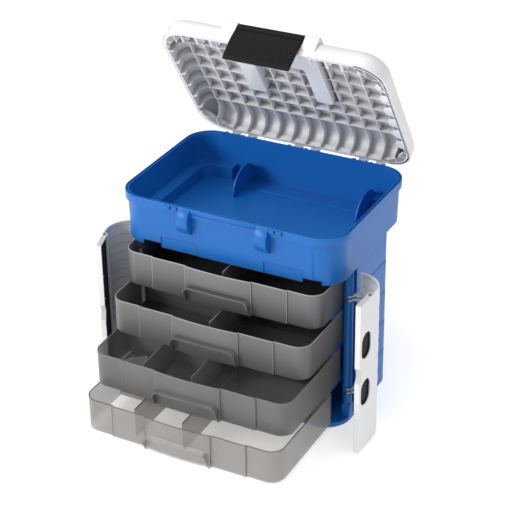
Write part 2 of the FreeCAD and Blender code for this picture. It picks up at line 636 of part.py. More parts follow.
def lid_shell():
    """The domed lid, with a sunk U for the handle, bosses for the clasp and hinge arms."""
    body = new_body("lid_shell")
    wall = cell("lid_wall")
    outside = new_sketch(body, "XY_Plane", lid_bottom)
    add_rounded(outside, -half_width, half_width, lid_front, lid_back, cell("rim_corner"))
    block = pad(body, outside, cell("lid_height"))
    dome = fillet(body, block, cell("lid_edge"), lambda edge: edge.BoundBox.ZMin > lid_top.value - 0.01)
    shell = body.newObject("PartDesign::Thickness", "lid_walls")
    underside = [number for number, face in enumerate(dome.Shape.Faces, start=1)
                 if face.BoundBox.ZMax < lid_bottom.value + 0.01]
    shell.Base = (dome, ["Face%d" % number for number in underside])
    shell.Reversed = True
    bind(shell, Value=wall)
    document.recompute()
    round_y, round_z = lid_front + cell("lid_edge"), lid_top - cell("lid_edge")
    inner_bend = cell("lid_edge") - wall / 2
    nose = cell("boss_nose")
    for side in SIDES.values():
        boss = new_sketch(body, "YZ_Plane", side * (clasp_half + cell("boss_width") / 2))
        foot_z = lid_bottom + cell("boss_foot")
        add_outline(boss, [
            (lid_front + wall / 2, foot_z),
            (lid_front + wall / 2, round_z, round_y - inner_bend * DIAGONAL, round_z + inner_bend * DIAGONAL),
            (round_y, lid_top - wall / 2), (round_y, clasp_z + nose),
            (clasp_y, clasp_z + nose, clasp_y - nose * DIAGONAL, clasp_z + nose * DIAGONAL),
            (clasp_y - nose, clasp_z), (lid_front - nose / 2, foot_z + nose)])
        pad(body, boss, cell("boss_width"), both_ways=True)
    trough = new_sketch(body, "XY_Plane", lid_top - cell("handle_sink") - wall)
    handle_outline(trough, cell("handle_play") + wall)
    pad(body, trough, cell("handle_sink") + wall / 2)
    sunk = new_sketch(body, "XY_Plane", lid_top)
    handle_outline(sunk, cell("handle_play"))
    pocket(body, sunk, cell("handle_sink"))
    for side in SIDES.values():
        middle = side * (cell("handle_width") - cell("handle_leg")) / 2
        bore = new_sketch(body, "YZ_Plane", middle)
        add_circle(bore, lid_middle + cell("handle_pivot"), pivot_z, cell("pivot_radius"))
        pocket(body, bore, pivot_length, both_ways=True)
        depth = cell("boss_clearance") + cell("pin_grip")
        hole = new_sketch(body, "YZ_Plane", side * (cell("clasp_width") / 2 + depth / 2))
        add_circle(hole, clasp_y, clasp_z, cell("clasp_pin"))
        pocket(body, hole, depth, both_ways=True)
    arms = []
    radius = cell("hinge_knuckle")
    near = lid_back + cell("running_gap")
    root = lid_back - wall / 2
    inner_end = cell("knuckle_middle") / 2 + cell("knuckle_gap")
    reach = cell("hinge_length") / 2 - cell("knuckle_end") - cell("knuckle_gap") - inner_end
    middle = inner_end + reach / 2
    # the arm goes round its pin from the lid's side to the cheek that faces the bin
    cheek = radius * DIAGONAL
    low_turn = math.radians(22.5)
    for start in (middle, -middle):
        arm = new_sketch(body, "YZ_Plane", start - cell("hinge_spacing"))
        add_outline(arm, [
            (near, near + 2 * cheek), (near, lid_bottom), (root, lid_bottom),
            (root, lid_bottom + cell("arm_rise")),
            (near + cell("arm_wall"), lid_bottom + cell("arm_rise") / 3),
            (radius, 0, -radius * math.sin(low_turn), -radius * math.cos(low_turn)), (-cheek, cheek)])
        add_circle(arm, 0, 0, cell("hinge_pin") + cell("pin_clearance"))
        arms.append(pad(body, arm, reach, both_ways=True))
    repeat(body, arms, "X_Axis", 2 * cell("hinge_spacing"), 3)
    put_on_lid(body)
    return body


def lid_rib_grid():
    """Ribs that stiffen the lid: a grid that keeps one depth under the dome and down its sides."""
    wall, depth = cell("lid_wall").value, cell("rib_depth").value

    def slab(inset, height, soften):
        half_x = half_width.value - inset
        near, far = lid_front.value + inset, lid_back.value - inset
        block = Part.makeBox(2 * half_x, far - near, height, Vector(-half_x, near, lid_bottom.value))
        uprights = [edge for edge in block.Edges if edge.BoundBox.ZLength > height / 2]
        return soften(block, cell("rim_corner").value - inset, uprights)

    def pillow(inset, soften):
        height = cell("lid_height").value - inset
        block = slab(inset, height, soften)
        crown = [edge for edge in block.Edges if edge.BoundBox.ZMin > lid_bottom.value + height - 0.01]
        return soften(block, cell("lid_edge").value - inset, crown)
    # the ribs fit under the round dome, and their free edges are cut straight
    shell = pillow(wall, Part.Solid.makeFillet).cut(pillow(wall + depth, Part.Solid.makeChamfer))
    thickness = cell("rib_thickness").value
    start = lid_bottom.value
    tall = cell("lid_height").value
    plates = []
    for pitch, span, along_x in ((cell("rib_pitch_across").value, half_width.value, True),
                                 (cell("rib_pitch_deep").value, half_depth.value, False)):
        if along_x:
            count = int((span - wall) / pitch)
            steps = range(-count, count + 1)
        else:
            # an even number of rows, which leaves the back wall with upright ribs only
            count = int((span - wall - 2 * depth) / pitch)
            steps = [step + 0.5 for step in range(-count, count)]
        for step in steps:
            middle = step * pitch
            if along_x:
                corner = Vector(middle - thickness / 2, lid_front.value, start)
                plates.append(Part.makeBox(thickness, 2 * half_depth.value, tall, corner))
            else:
                corner = Vector(-half_width.value, lid_middle.value + middle - thickness / 2, start)
                plates.append(Part.makeBox(2 * half_width.value, thickness, tall, corner))
    grid = plates[0].multiFuse(plates[1:]).common(shell)
    # the seal sits in notches of the ribs, and a flange hides it from inside
    seal_inset = (cell("lid_wall") + cell("seal_gap")).value
    inset = seal_inset + cell("seal_width").value
    seal_top = (cell("seal_set") + cell("seal_height")).value
    notches = slab(seal_inset, seal_top, Part.Solid.makeFillet)
    grid = grid.cut(notches.cut(slab(inset, seal_top, Part.Solid.makeFillet)))
    inner_inset = inset + cell("flange_wall").value
    flange = pillow(inset, Part.Solid.makeFillet).cut(pillow(inner_inset, Part.Solid.makeChamfer))
    band = Part.makeBox(2 * half_width.value, 2 * half_depth.value, cell("flange_depth").value,
                        Vector(-half_width.value, lid_front.value, start))
    grid = grid.fuse(flange.common(band))
    # the sunk U for the handle takes the place of the ribs
    grow = (cell("handle_play") + cell("lid_wall")).value
    outer = cell("handle_width").value / 2 + grow
    inner = cell("handle_width").value / 2 - cell("handle_leg").value - grow
    front = (lid_front + cell("handle_set")).value - grow
    bar_back = (lid_front + cell("handle_set") + cell("handle_bar")).value + grow
    leg_back = (lid_middle + cell("handle_pivot") + cell("handle_height") / 2).value + grow
    trough = Part.makeBox(2 * outer, leg_back - front, tall, Vector(-outer, front, lid_bottom.value))
    open_middle = Part.makeBox(2 * inner, leg_back - bar_back, tall,
                               Vector(-inner, bar_back, lid_bottom.value))
    grid = grid.cut(trough.cut(open_middle))
    feature = document.addObject("Part::Feature", "lid_rib_grid")
    feature.Label = "lid_rib_grid"
    whole = max(grid.Solids, key=lambda solid: solid.Volume)
    feature.Shape = whole.removeSplitter()
    sub_parts.append(feature)
    feature.Placement = Placement(Vector(0, hinge_y.value, hinge_z.value),
                                  Rotation(Vector(-1, 0, 0), cell("lid_open").value))
    return feature


def lid_seal():
    body = new_body("lid_seal")
    ring = new_sketch(body, "XY_Plane", lid_bottom + cell("seal_set"))
    start = cell("lid_wall") + cell("seal_gap")
    for inset in (start, start + cell("seal_width")):
        add_rounded(ring, inset - half_width, half_width - inset, lid_front + inset, lid_back - inset,
                    cell("rim_corner") - inset)
    pad(body, ring, cell("seal_height"))
    put_on_lid(body)
    return body


def lid_hinge_pin(number, step):
    body = new_body("lid_hinge_pin_%d" % number)
    end = new_sketch(body, "YZ_Plane", step * cell("hinge_spacing"))
    add_circle(end, hinge_y, hinge_z, cell("hinge_pin"))
    pad(body, end, cell("hinge_length"), both_ways=True)
    return body


def carry_handle():
    body = new_body("carry_handle")
    bottom = pivot_z - cell("handle_height") / 2
    top = pivot_z + cell("handle_height") / 2
    front = lid_front + cell("handle_set")
    pivot_y = lid_middle + cell("handle_pivot")
    bar = new_sketch(body, "YZ_Plane")
    bend = cell("handle_round")
    add_rounded(bar, front, front + cell("handle_bar"), bottom, top, bend)
    pad(body, bar, cell("handle_width"), both_ways=True)
    for side in SIDES.values():
        leg = new_sketch(body, "YZ_Plane", side * (cell("handle_width") - cell("handle_leg")) / 2)
        add_outline(leg, [
            (front + bend, bottom), (pivot_y, bottom, pivot_y + cell("handle_height") / 2, pivot_z),
            (pivot_y, top), (front + bend, top)])
        add_circle(leg, pivot_y, pivot_z, cell("pivot_radius") + cell("pin_clearance"))
        pad(body, leg, cell("handle_leg"), both_ways=True)
    put_on_lid(body)
    return body


def handle_pivot(name, side):
    body = new_body("handle_pivot_%s" % name)
    end = new_sketch(body, "YZ_Plane", side * (cell("handle_width") - cell("handle_leg")) / 2)
    add_circle(end, lid_middle + cell("handle_pivot"), pivot_z, cell("pivot_radius"))
    pad(body, end, pivot_length, both_ways=True)
    put_on_lid(body)
    return body


def front_clasp():
    """The curved plate that hangs from its pin and closes over the front of the bin."""
    body = new_body("front_clasp")
    near = lid_front - cell("clasp_gap")
    far = near - cell("clasp_thickness")
    low = lid_bottom - cell("clasp_drop")
    knuckle = cell("clasp_knuckle")
    side_view = new_sketch(body, "YZ_Plane")
    add_outline(side_view, [
        (near, low), (near, clasp_z - 3 * knuckle), (clasp_y, clasp_z - knuckle, clasp_y + knuckle, clasp_z),
        (clasp_y, clasp_z + knuckle),
        (near - knuckle / 2, clasp_z + knuckle / 2, far - cell("clasp_bulge") / 2, lid_bottom + knuckle),
        (far, low)])
    add_circle(side_view, clasp_y, clasp_z, cell("clasp_pin") + cell("pin_clearance"))
    pad(body, side_view, cell("clasp_width"), both_ways=True)
    put_on_lid(body)
    return body


def clasp_pin():
    body = new_body("clasp_pin")
    end = new_sketch(body, "YZ_Plane")
    add_circle(end, clasp_y, clasp_z, cell("clasp_pin"))
    pad(body, end, cell("clasp_width") + 2 * (cell("boss_clearance") + cell("pin_grip")), both_ways=True)
    put_on_lid(body)
    return body


# The doors are drawn closed, about the post that each turns on
door_side = cell("door_stand_off") + cell("post_inset")
door_front = cell("door_set") - cell("post_set")
door_height = cell("rim_height") - cell("bin_height") - cell("door_gap") - cell("door_bottom")
door_edge = door_side - cell("door_corner") - cell("door_flat")
arc_x = door_side - cell("door_corner")
arc_y = door_front + cell("door_corner")


def door_open(side):
    """How far a door is turned from closed."""
    return cell("open_right") if side > 0 else cell("open_left")


def door_shell(name, side):
    """The outer skin of a door: a return, a quarter round and a boxed front edge."""
    body = new_body("door_shell_%s" % name)
    skin, deep = cell("door_skin"), cell("door_box_depth")
    bend = cell("door_corner")
    inner_bend = bend - skin
    box_end = door_edge + cell("door_box")
    return_end = arc_y + cell("door_return")
    plan = new_sketch(body, "XY_Plane", cell("door_bottom"))
    add_outline(plan, [
        (side * door_side, return_end),
        (side * door_side, arc_y, side * (arc_x + bend * DIAGONAL), arc_y - bend * DIAGONAL),
        (side * arc_x, door_front), (side * door_edge, door_front),
        (side * door_edge, door_front + deep), (side * box_end, door_front + deep),
        (side * box_end, door_front + skin),
        (side * arc_x, door_front + skin, side * (arc_x + inner_bend * DIAGONAL),
         arc_y - inner_bend * DIAGONAL),
        (side * (door_side - skin), arc_y), (side * (door_side - skin), return_end)])
    pad(body, plan, door_height)
    hollow = new_sketch(body, "XY_Plane", cell("door_bottom") + skin)
    add_outline(hollow, [
        (side * (door_edge + skin), door_front + skin), (side * (box_end - skin), door_front + skin),
        (side * (box_end - skin), door_front + deep + skin),
        (side * (door_edge + skin), door_front + deep + skin)])
    pocket(body, hollow, door_height - 2 * skin, flip=True)
    low_hole = cell("door_bottom") + cell("door_hole_lower")
    high_hole = cell("door_bottom") + door_height - cell("door_hole_upper")
    for hole in (low_hole, high_hole):
        slot = new_sketch(body, "XZ_Plane", -(door_front + skin * 1.5))
        middle = side * (door_edge + cell("door_box") / 2)
        reach = cell("door_hole_width") / 2
        half_height = cell("door_hole_height") / 2
        add_rounded(slot, middle - reach, middle + reach, hole - half_height, hole + half_height,
                    reach - skin / 4)
        pocket(body, slot, 2 * skin, flip=True)
    notch = new_sketch(body, "XZ_Plane", -(door_front + deep + skin))
    add_circle(notch, side * (door_edge - cell("finger_notch_set")),
               cell("door_bottom") + cell("finger_notch_rise"), cell("finger_notch"))
    pocket(body, notch, deep + 2 * skin, flip=True)
    web = new_sketch(body, "XY_Plane", cell("door_bottom") + cell("edge_web_pitch"))
    reach = cell("edge_web_reach")
    add_outline(web, [
        (side * (door_edge + skin / 2), door_front + cell("insert_back")),
        (side * (door_edge + skin), door_front + cell("insert_back")),
        (side * (door_edge + skin + reach), door_front + deep),
        (side * (door_edge + skin / 2), door_front + deep)])
    first_web = pad(body, web, cell("edge_web"))
    steps = int(float(door_height / cell("edge_web_pitch"))) - 2
    repeat(body, [first_web], "Z_Axis", steps * cell("edge_web_pitch"), steps + 1)
    ring = new_sketch(body, "XY_Plane", cell("door_bottom") + cell("door_panel_pitch"))
    far, near = bend + skin / 2, bend - skin / 3
    add_outline(ring, [
        (side * (arc_x + far), arc_y, side * (arc_x + far * DIAGONAL), arc_y - far * DIAGONAL),
        (side * arc_x, arc_y - far),
        (side * arc_x, arc_y - near, side * (arc_x + near * DIAGONAL), arc_y - near * DIAGONAL),
        (side * (arc_x + near), arc_y)])
    groove = pocket(body, ring, cell("panel_step"))
    steps = int(float(door_height / cell("door_panel_pitch"))) - 2
    repeat(body, [groove], "Z_Axis", steps * cell("door_panel_pitch"), steps + 1)
    put(body, side * post_x, post_y, 0, UPWARD, side * door_open(side))
    return body


def door_liner(name, side):
    """The grey lining inside a door, with the arms of the hinge clips."""
    body = new_body("door_liner_%s" % name)
    skin, thick, deep = cell("door_skin"), cell("door_liner"), cell("door_box_depth")
    far = cell("door_corner") - skin
    near = far - thick
    box_end = door_edge + cell("door_box")
    open_end = door_edge + cell("door_opening") + 2 * skin
    plan = new_sketch(body, "XY_Plane", cell("door_bottom"))
    add_outline(plan, [
        (side * (arc_x + far), arc_y, side * (arc_x + far * DIAGONAL), arc_y - far * DIAGONAL),
        (side * arc_x, arc_y - far), (side * box_end, door_front + skin),
        (side * box_end, door_front + deep), (side * open_end, door_front + deep),
        (side * open_end, door_front + deep + thick), (side * (box_end + thick), door_front + deep + thick),
        (side * (box_end + thick), door_front + skin + thick),
        (side * arc_x, arc_y - near, side * (arc_x + near * DIAGONAL), arc_y - near * DIAGONAL),
        (side * (arc_x + near), arc_y)])
    pad(body, plan, door_height)
    inner = cell("post_radius") - cell("neck_depth") + cell("pin_clearance")
    outer = inner + cell("clip_wall")
    arm_end = door_side - skin
    root = cell("clip_height") / 2
    for clip in clip_heights:
        for step in (-1, 1):
            bottom = clip + step * cell("clip_pitch") / 2 - cell("clip_height") / 2
            arm = new_sketch(body, "XY_Plane", bottom)
            add_outline(arm, [
                (side * 0, -inner, side * inner, 0), (side * 0, inner), (side * 0, outer, side * outer, 0),
                (side * outer * DIAGONAL, -outer * DIAGONAL), (side * arm_end, arc_y + 2 * root),
                (side * arm_end, arc_y - root), (side * (arm_end - 2 * root), arc_y - root),
                (side * 0, -outer, -side * outer * DIAGONAL, -outer * DIAGONAL),
                (-side * outer * 0.95, -outer * 0.3),
                (-side * inner * 0.95, -inner * 0.3, -side * inner * DIAGONAL, -inner * DIAGONAL)])
            pad(body, arm, cell("clip_height"))
    put(body, side * post_x, post_y, 0, UPWARD, side * door_open(side))
    return body


def door_insert(name, side):
    """The black filler of a door's boxed edge, seen through its holes."""
    body = new_body("door_insert_%s" % name)
    skin, deep = cell("door_skin"), cell("insert_back")
    box_end = door_edge + cell("door_box")
    plan = new_sketch(body, "XY_Plane", cell("door_bottom") + skin)
    add_outline(plan, [
        (side * (door_edge + skin), door_front + cell("insert_set")),
        (side * (box_end - skin), door_front + cell("insert_set")),
        (side * (box_end - skin), door_front + deep), (side * (door_edge + skin), door_front + deep)])
    pad(body, plan, door_height - 2 * skin)
    notch = new_sketch(body, "XZ_Plane", -(door_front + deep + skin))
    add_circle(notch, side * (door_edge - cell("finger_notch_set")),
               cell("door_bottom") + cell("finger_notch_rise"), cell("finger_notch"))
    pocket(body, notch, deep + 2 * skin, flip=True)
    put(body, side * post_x, post_y, 0, UPWARD, side * door_open(side))
    return body


def drawer_plan(drawing, inset):
    """A drawer seen from above, drawn in from its outer face by a wall."""
    half = drawer_half - inset
    front = drawer_front + inset
    back = body_back - cell("body_wall") - cell("drawer_behind") - inset
    bend = cell("drawer_corner") - inset
    rear_bend = cell("drawer_rear_corner") - inset
    short = rear_bend * (1 - DIAGONAL)
    second = cell("drawer_second") / 2 - inset
    centre = cell("drawer_centre") / 2 - inset
    step = cell("drawer_step")
    add_outline(drawing, [
        (rear_bend - half, back, short - half, back - short), (-half, back - rear_bend),
        (-half, front + bend, bend * (1 - DIAGONAL) - half, front + bend * (1 - DIAGONAL)),
        (bend - half, front), (-second, front), (-second, front - step), (-centre, front - step),
        (-centre, front - 2 * step, 0, front - 2 * step - cell("drawer_bow")),
        (centre, front - 2 * step), (centre, front - step), (second, front - step), (second, front),
        (half - bend, front, half - bend * (1 - DIAGONAL), front + bend * (1 - DIAGONAL)),
        (half, front + bend), (half, back - rear_bend, half - short, back - short),
        (half - rear_bend, back)])


def put_in_bay(body, number):
    """Place a piece of a drawer at its level, drawn out."""
    put(body, 0, -cell("pull_out_%d" % number), drawer_bottom(4 - number), UPWARD, 0)


def drawer_tray(number):
    body = new_body("drawer_tray_%d" % number)
    back = body_back - cell("body_wall") - cell("drawer_behind")
    outside = new_sketch(body, "XY_Plane")
    add_rounded(outside, -drawer_half, drawer_half, drawer_front, back, cell("drawer_corner"),
                cell("drawer_rear_corner"))
    block = pad(body, outside, drawer_height)
    fillet(body, block, cell("drawer_round"), lambda edge: edge.BoundBox.ZMax < 0.01)
    step, wall = cell("drawer_step"), cell("drawer_wall")
    second, centre = cell("drawer_second") / 2, cell("drawer_centre") / 2
    outer_step = new_sketch(body, "XY_Plane", cell("drawer_round") / 2)
    add_outline(outer_step, [
        (-second, drawer_front + wall), (-second, drawer_front - step), (second, drawer_front - step),
        (second, drawer_front + wall)])
    pad(body, outer_step, drawer_height - cell("drawer_round") / 2)
    inner_step = new_sketch(body, "XY_Plane")
    crown = drawer_front - 2 * step - cell("drawer_bow")
    add_outline(inner_step, [
        (centre, drawer_front), (-centre, drawer_front), (-centre, drawer_front - 2 * step, 0, crown),
        (centre, drawer_front - 2 * step)])
    pad(body, inner_step, drawer_height)
    inside = new_sketch(body, "XY_Plane", cell("drawer_wall"))
    drawer_plan(inside, cell("drawer_wall"))
    pocket(body, inside, drawer_height - cell("drawer_wall"), flip=True)
    face = 2 * cell("drawer_step") - drawer_front - cell("pull_inset") / 2
    arch = new_sketch(body, "XZ_Plane", face)
    half = cell("drawer_centre") / 2 - cell("pull_inset")
    rise, thick, outer_bend = cell("pull_rise"), cell("pull_wall"), cell("pull_round")
    inner_bend = outer_bend - thick
    add_outline(arch, [
        (-half, 0), (-half, rise - outer_bend, outer_bend * (1 - DIAGONAL) - half,
                     rise - outer_bend * (1 - DIAGONAL)),
        (outer_bend - half, rise), (half - outer_bend, rise, half - outer_bend * (1 - DIAGONAL),
                                    rise - outer_bend * (1 - DIAGONAL)),
        (half, rise - outer_bend), (half, 0), (half - thick, 0),
        (half - thick, rise - thick - inner_bend, half - thick - inner_bend * (1 - DIAGONAL),
         rise - thick - inner_bend * (1 - DIAGONAL)),
        (half - thick - inner_bend, rise - thick),
        (thick + inner_bend - half, rise - thick, thick + inner_bend * (1 - DIAGONAL) - half,
         rise - thick - inner_bend * (1 - DIAGONAL)),
        (thick - half, rise - thick - inner_bend), (thick - half, 0)])
    pad(body, arch, cell("pull_reach") + cell("drawer_bow"))
    put_in_bay(body, number)
    return body


# The partitions of each drawer: walls across it (x from, x to, y) and walls from front to
# back (x, y from, y to), as shares of the clear inside
PARTITIONS = {
    1: {"across": [], "deep": [(0.5, 0.06, 1)]},
    2: {"across": [(0, 0.5, 0.55)], "deep": [(0.5, 0.06, 1), (0.25, 0.55, 1)]},
    3: {"across": [(0, 0.5, 0.55)], "deep": [(0.5, 0.06, 1), (0.25, 0.06, 1)]},
    4: {"across": [(0, 0.5, 0.55)], "deep": [(0.5, 0.06, 1), (0.25, 0.06, 0.55)]},
}


def drawer_dividers(number):
    body = new_body("drawer_dividers_%d" % number)
    wall, thick = cell("drawer_wall"), cell("divider_wall")
    half = drawer_half - wall
    front = drawer_front + wall
    back = body_back - cell("body_wall") - cell("drawer_behind") - wall
    height = drawer_height - wall - cell("divider_drop")
    layout = PARTITIONS[number]
    walls = []
    for start, finish, share in layout["across"]:
        y = front + (back - front) * share
        walls.append((start * 2 * half - half, finish * 2 * half - half + thick / 2,
                      y - thick / 2, y + thick / 2))
    for share, start, finish in layout["deep"]:
        x = share * 2 * half - half
        walls.append((x - thick / 2, x + thick / 2, front + (back - front) * start,
                      front + (back - front) * finish))
    for left, right, near, far in walls:
        plate = new_sketch(body, "XY_Plane", wall)
        add_outline(plate, [(left, near), (right, near), (right, far), (left, far)])
        pad(body, plate, height)
    put_in_bay(body, number)
    return body


upper_bin()
cabinet_shell()
base_tray()
for side_name, side_sign in SIDES.items():
    hinge_post(side_name, side_sign)
    for shelf in range(4):
        drawer_runner(side_name, side_sign, shelf)
    door_shell(side_name, side_sign)
    door_liner(side_name, side_sign)
    door_insert(side_name, side_sign)
    handle_pivot(side_name, side_sign)
lid_shell()
lid_rib_grid()
lid_seal()
for pin_number, pin_step in enumerate((-1, 0, 1), start=1):
    lid_hinge_pin(pin_number, pin_step)
carry_handle()
front_clasp()
clasp_pin()
for drawer_number in range(1, 5):
    drawer_tray(drawer_number)
    drawer_dividers(drawer_number)
document.recompute()

broken = [item.Label for item in document.Objects if {"Invalid", "Error"} & set(item.State)]
broken += [item.Label for item in sub_parts if item.Shape.isNull() or not item.Shape.isValid()]
if broken:
    raise ValueError("these did not build: %s" % ", ".join(broken))

os.makedirs("parts", exist_ok=True)
for item in sub_parts:
    item.Shape.exportStep(os.path.join("parts", "%s.step" % item.Label))
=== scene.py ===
import json
import math

import bmesh
import bpy
from mathutils import Matrix, Vector


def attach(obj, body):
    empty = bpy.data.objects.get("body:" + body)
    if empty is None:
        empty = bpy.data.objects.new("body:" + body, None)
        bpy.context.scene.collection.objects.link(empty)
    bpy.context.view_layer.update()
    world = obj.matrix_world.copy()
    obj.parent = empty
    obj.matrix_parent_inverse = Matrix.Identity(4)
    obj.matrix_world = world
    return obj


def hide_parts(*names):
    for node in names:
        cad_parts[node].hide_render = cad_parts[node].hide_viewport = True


# The looks of a fishing tackle cabinet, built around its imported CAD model.  Metres, +Z up,
# the front faces -Y.  The pieces added here are drawn in millimetres; finish_piece scales them.
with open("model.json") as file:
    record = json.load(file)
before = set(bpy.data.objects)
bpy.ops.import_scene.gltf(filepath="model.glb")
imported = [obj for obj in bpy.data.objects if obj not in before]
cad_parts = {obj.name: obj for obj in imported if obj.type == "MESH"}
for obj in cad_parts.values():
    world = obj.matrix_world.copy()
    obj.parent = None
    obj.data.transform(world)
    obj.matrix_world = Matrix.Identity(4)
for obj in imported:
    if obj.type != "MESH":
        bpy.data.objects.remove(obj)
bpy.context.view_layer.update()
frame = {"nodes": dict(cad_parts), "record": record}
nodes = frame["nodes"]
MM = 0.001
UP = Vector((0, 0, 1))

# ---------------------------------------------------------------- sizes that sections share

HALF_WIDTH, HALF_DEPTH, RIM_TOP, RIM_CORNER = 200, 141, 365, 47
DRAWER_COUNT, DRAWER_FIRST, DRAWER_PITCH, DRAWER_HEIGHT = 4, 11, 67.5, 60


def drawer_bottom(number):
    """The height of a drawer's bottom; drawer 1 is the top one."""
    return DRAWER_FIRST + DRAWER_PITCH * (DRAWER_COUNT - number)


# ---------------------------------------------------------------- camera

CAMERA_PLACE = Vector((1.1174, -2.1248, 1.5677))
CAMERA_AZIMUTH = math.radians(28.1)
CAMERA_ELEVATION = math.radians(29.2)
CAMERA_ROLL = math.radians(-0.9)
CAMERA_LENS, CAMERA_SENSOR, CAMERA_FAR = 115.64, 36, 20


def make_camera():
    """The camera at the viewing angle of the reference picture."""
    data = bpy.data.cameras.new("camera")
    data.lens = CAMERA_LENS
    data.sensor_width = CAMERA_SENSOR
    data.clip_end = CAMERA_FAR
    camera = bpy.data.objects.new("camera", data)
    bpy.context.scene.collection.objects.link(camera)
    azimuth, elevation = CAMERA_AZIMUTH, CAMERA_ELEVATION
    forward = Vector((-math.sin(azimuth) * math.cos(elevation),
                      math.cos(azimuth) * math.cos(elevation), -math.sin(elevation)))
    right = Vector((math.cos(azimuth), math.sin(azimuth), 0))
    up = right.cross(forward)
    turned_right = math.cos(CAMERA_ROLL) * right + math.sin(CAMERA_ROLL) * up
    turned_up = math.cos(CAMERA_ROLL) * up - math.sin(CAMERA_ROLL) * right
    camera.matrix_world = Matrix((
        (turned_right.x, turned_up.x, -forward.x, CAMERA_PLACE.x),
        (turned_right.y, turned_up.y, -forward.y, CAMERA_PLACE.y),
        (turned_right.z, turned_up.z, -forward.z, CAMERA_PLACE.z),
        (0, 0, 0, 1)))
    bpy.context.scene.camera = camera


# ---------------------------------------------------------------- stage and light

SURROUND_STRENGTH = 0.42
FLOOR_REACH, FLOOR_TONE, FLOOR_ROUGHNESS, FLOOR_GLOW = 30, 0.9, 0.9, 0.5
# each light's place, size and power; both point at the middle of the cabinet
LIGHT_TARGET = Vector((0, 0, 0.3))
LIGHTS = {"key": ((-2.2, -3.0, 2.2), 1.8, 95),
          "top": ((0.2, -0.4, 3.2), 2.4, 34)}


def area_light(name, place, size, power):
    """A round soft light that points at the cabinet."""
    data = bpy.data.lights.new(name, "AREA")
    data.shape = "DISK"
    data.size = size
    data.energy = power
    lamp = bpy.data.objects.new(name, data)
    bpy.context.scene.collection.objects.link(lamp)
    lamp.location = place
    lamp.rotation_euler = (LIGHT_TARGET - Vector(place)).to_track_quat("-Z", "Y").to_euler()


def make_stage():
    """A pale floor, an even white surround and soft lights from the front left and above."""
    world = bpy.data.worlds.new("surround")
    world.use_nodes = True
    background = world.node_tree.nodes["Background"]
    background.inputs["Color"].default_value = (1, 1, 1, 1)
    background.inputs["Strength"].default_value = SURROUND_STRENGTH
    bpy.context.scene.world = world
    mesh = bpy.data.meshes.new("floor")
    mesh.from_pydata([(FLOOR_REACH * x, FLOOR_REACH * y, 0)
                      for x, y in ((-1, -1), (1, -1), (1, 1), (-1, 1))], [], [(0, 1, 2, 3)])
    floor = bpy.data.objects.new("floor", mesh)
    bpy.context.scene.collection.objects.link(floor)
    material, shader, _ = new_material("floor_white")
    shader.inputs["Base Color"].default_value = (FLOOR_TONE, FLOOR_TONE, FLOOR_TONE, 1)
    shader.inputs["Roughness"].default_value = FLOOR_ROUGHNESS
    shader.inputs["Emission Color"].default_value = (1, 1, 1, 1)
    shader.inputs["Emission Strength"].default_value = FLOOR_GLOW
    mesh.materials.append(material)
    for name, light in LIGHTS.items():
        area_light(name, *light)
    bpy.context.scene.view_settings.view_transform = "Standard"
    bpy.context.scene.view_settings.look = "None"


# ---------------------------------------------------------------- materials

# every moulded plastic: its colour, its roughness and what else sets it apart
PLASTICS = {
    "blue_plastic": ((0.008, 0.14, 0.49), 0.36, {}),
    # white_plastic and pan_plastic darken in their pockets with painted shade
    "white_plastic": ((0.82, 0.82, 0.835), 0.34,
                      {"pocket_shade": (0.5, 0.5, 0.505), "reach": 14 * MM}),
    "grey_liner": ((0.6, 0.605, 0.61), 0.42, {}),
    "black_insert": ((0.005, 0.005, 0.005), 0.5, {"specular": 0.12}),
    "black_clasp": ((0.011, 0.011, 0.012), 0.6, {"grain": 0.3, "specular": 0.16}),
    "seal_rubber": ((0.03, 0.03, 0.032), 0.6, {}),
    "pan_plastic": ((0.9, 0.89, 0.88), 0.4,
                    {"pocket_shade": (0.37, 0.37, 0.375), "reach": 22 * MM}),
    "peg_plastic": ((0.9, 0.9, 0.9), 0.34, {}),
    "pan_shade": ((0.3, 0.3, 0.305), 0.5, {}),
    "liner_shade": ((0.16, 0.16, 0.17), 0.6, {}),
    "blue_edge": ((0.03, 0.24, 0.62), 0.22, {}),
    "blue_shade": ((0.004, 0.06, 0.25), 0.5, {}),
    # the rims' colours, also worn by the seams and divider edges: lighter on the upper drawers by
    # painted highlight
    "smoke_rim_1": ((0.36, 0.355, 0.37), 0.25, {}),
    "smoke_rim_2": ((0.31, 0.305, 0.31), 0.25, {}),
    "smoke_rim_3": ((0.2, 0.19, 0.185), 0.25, {}),
    "smoke_rim_4": ((0.13, 0.12, 0.11), 0.25, {}),
}
# each drawer's wall and floor colours, painted darker in the upper drawers, which stand in the
# bay's shade, and lighter in the lowest; and how far walls and floor hide what is behind them
SMOKE_AND_SHADE = {1: ((0.205, 0.203, 0.212), (0.14, 0.135, 0.14), 0.8, 0.6),
         2: ((0.2, 0.197, 0.2), (0.19, 0.186, 0.19), 0.78, 0.55),
         3: ((0.19, 0.184, 0.177), (0.26, 0.25, 0.24), 0.68, 0.42),
         4: ((0.27, 0.256, 0.246), (0.7, 0.655, 0.61), 0.5, 0.24)}
# the dividers are thinner: one colour and one cover each, the colour painted lighter than the
# walls as if lit more, and darker in the upper drawers by painted shade
DIVIDER_TINTS_AND_SHADE = {1: ((0.2, 0.195, 0.205), 0.7),
            2: ((0.24, 0.236, 0.24), 0.66),
            3: ((0.27, 0.26, 0.25), 0.6),
            4: ((0.4, 0.365, 0.34), 0.6)}
# painted shade and light on the walls: their brightness at the foot, drawer by drawer, and at the
# rim
FOOT_PAINTED_SHADE, TOP_PAINTED_LIGHT = {1: 0.5, 2: 0.58, 3: 0.74, 4: 0.95}, 1.06
# how far a surface looks up or down where a wall ends and where a floor begins
WALL_TILT, FLOOR_TILT = 0.85, 0.98
SMOKE_WALL_ROUGHNESS, SMOKE_FLOOR_ROUGHNESS, SMOKE_IOR = 0.36, 0.2, 1.49
SMOKE_CLOUD_SCALE, SMOKE_CLOUD_SPREAD = 14, 0.1

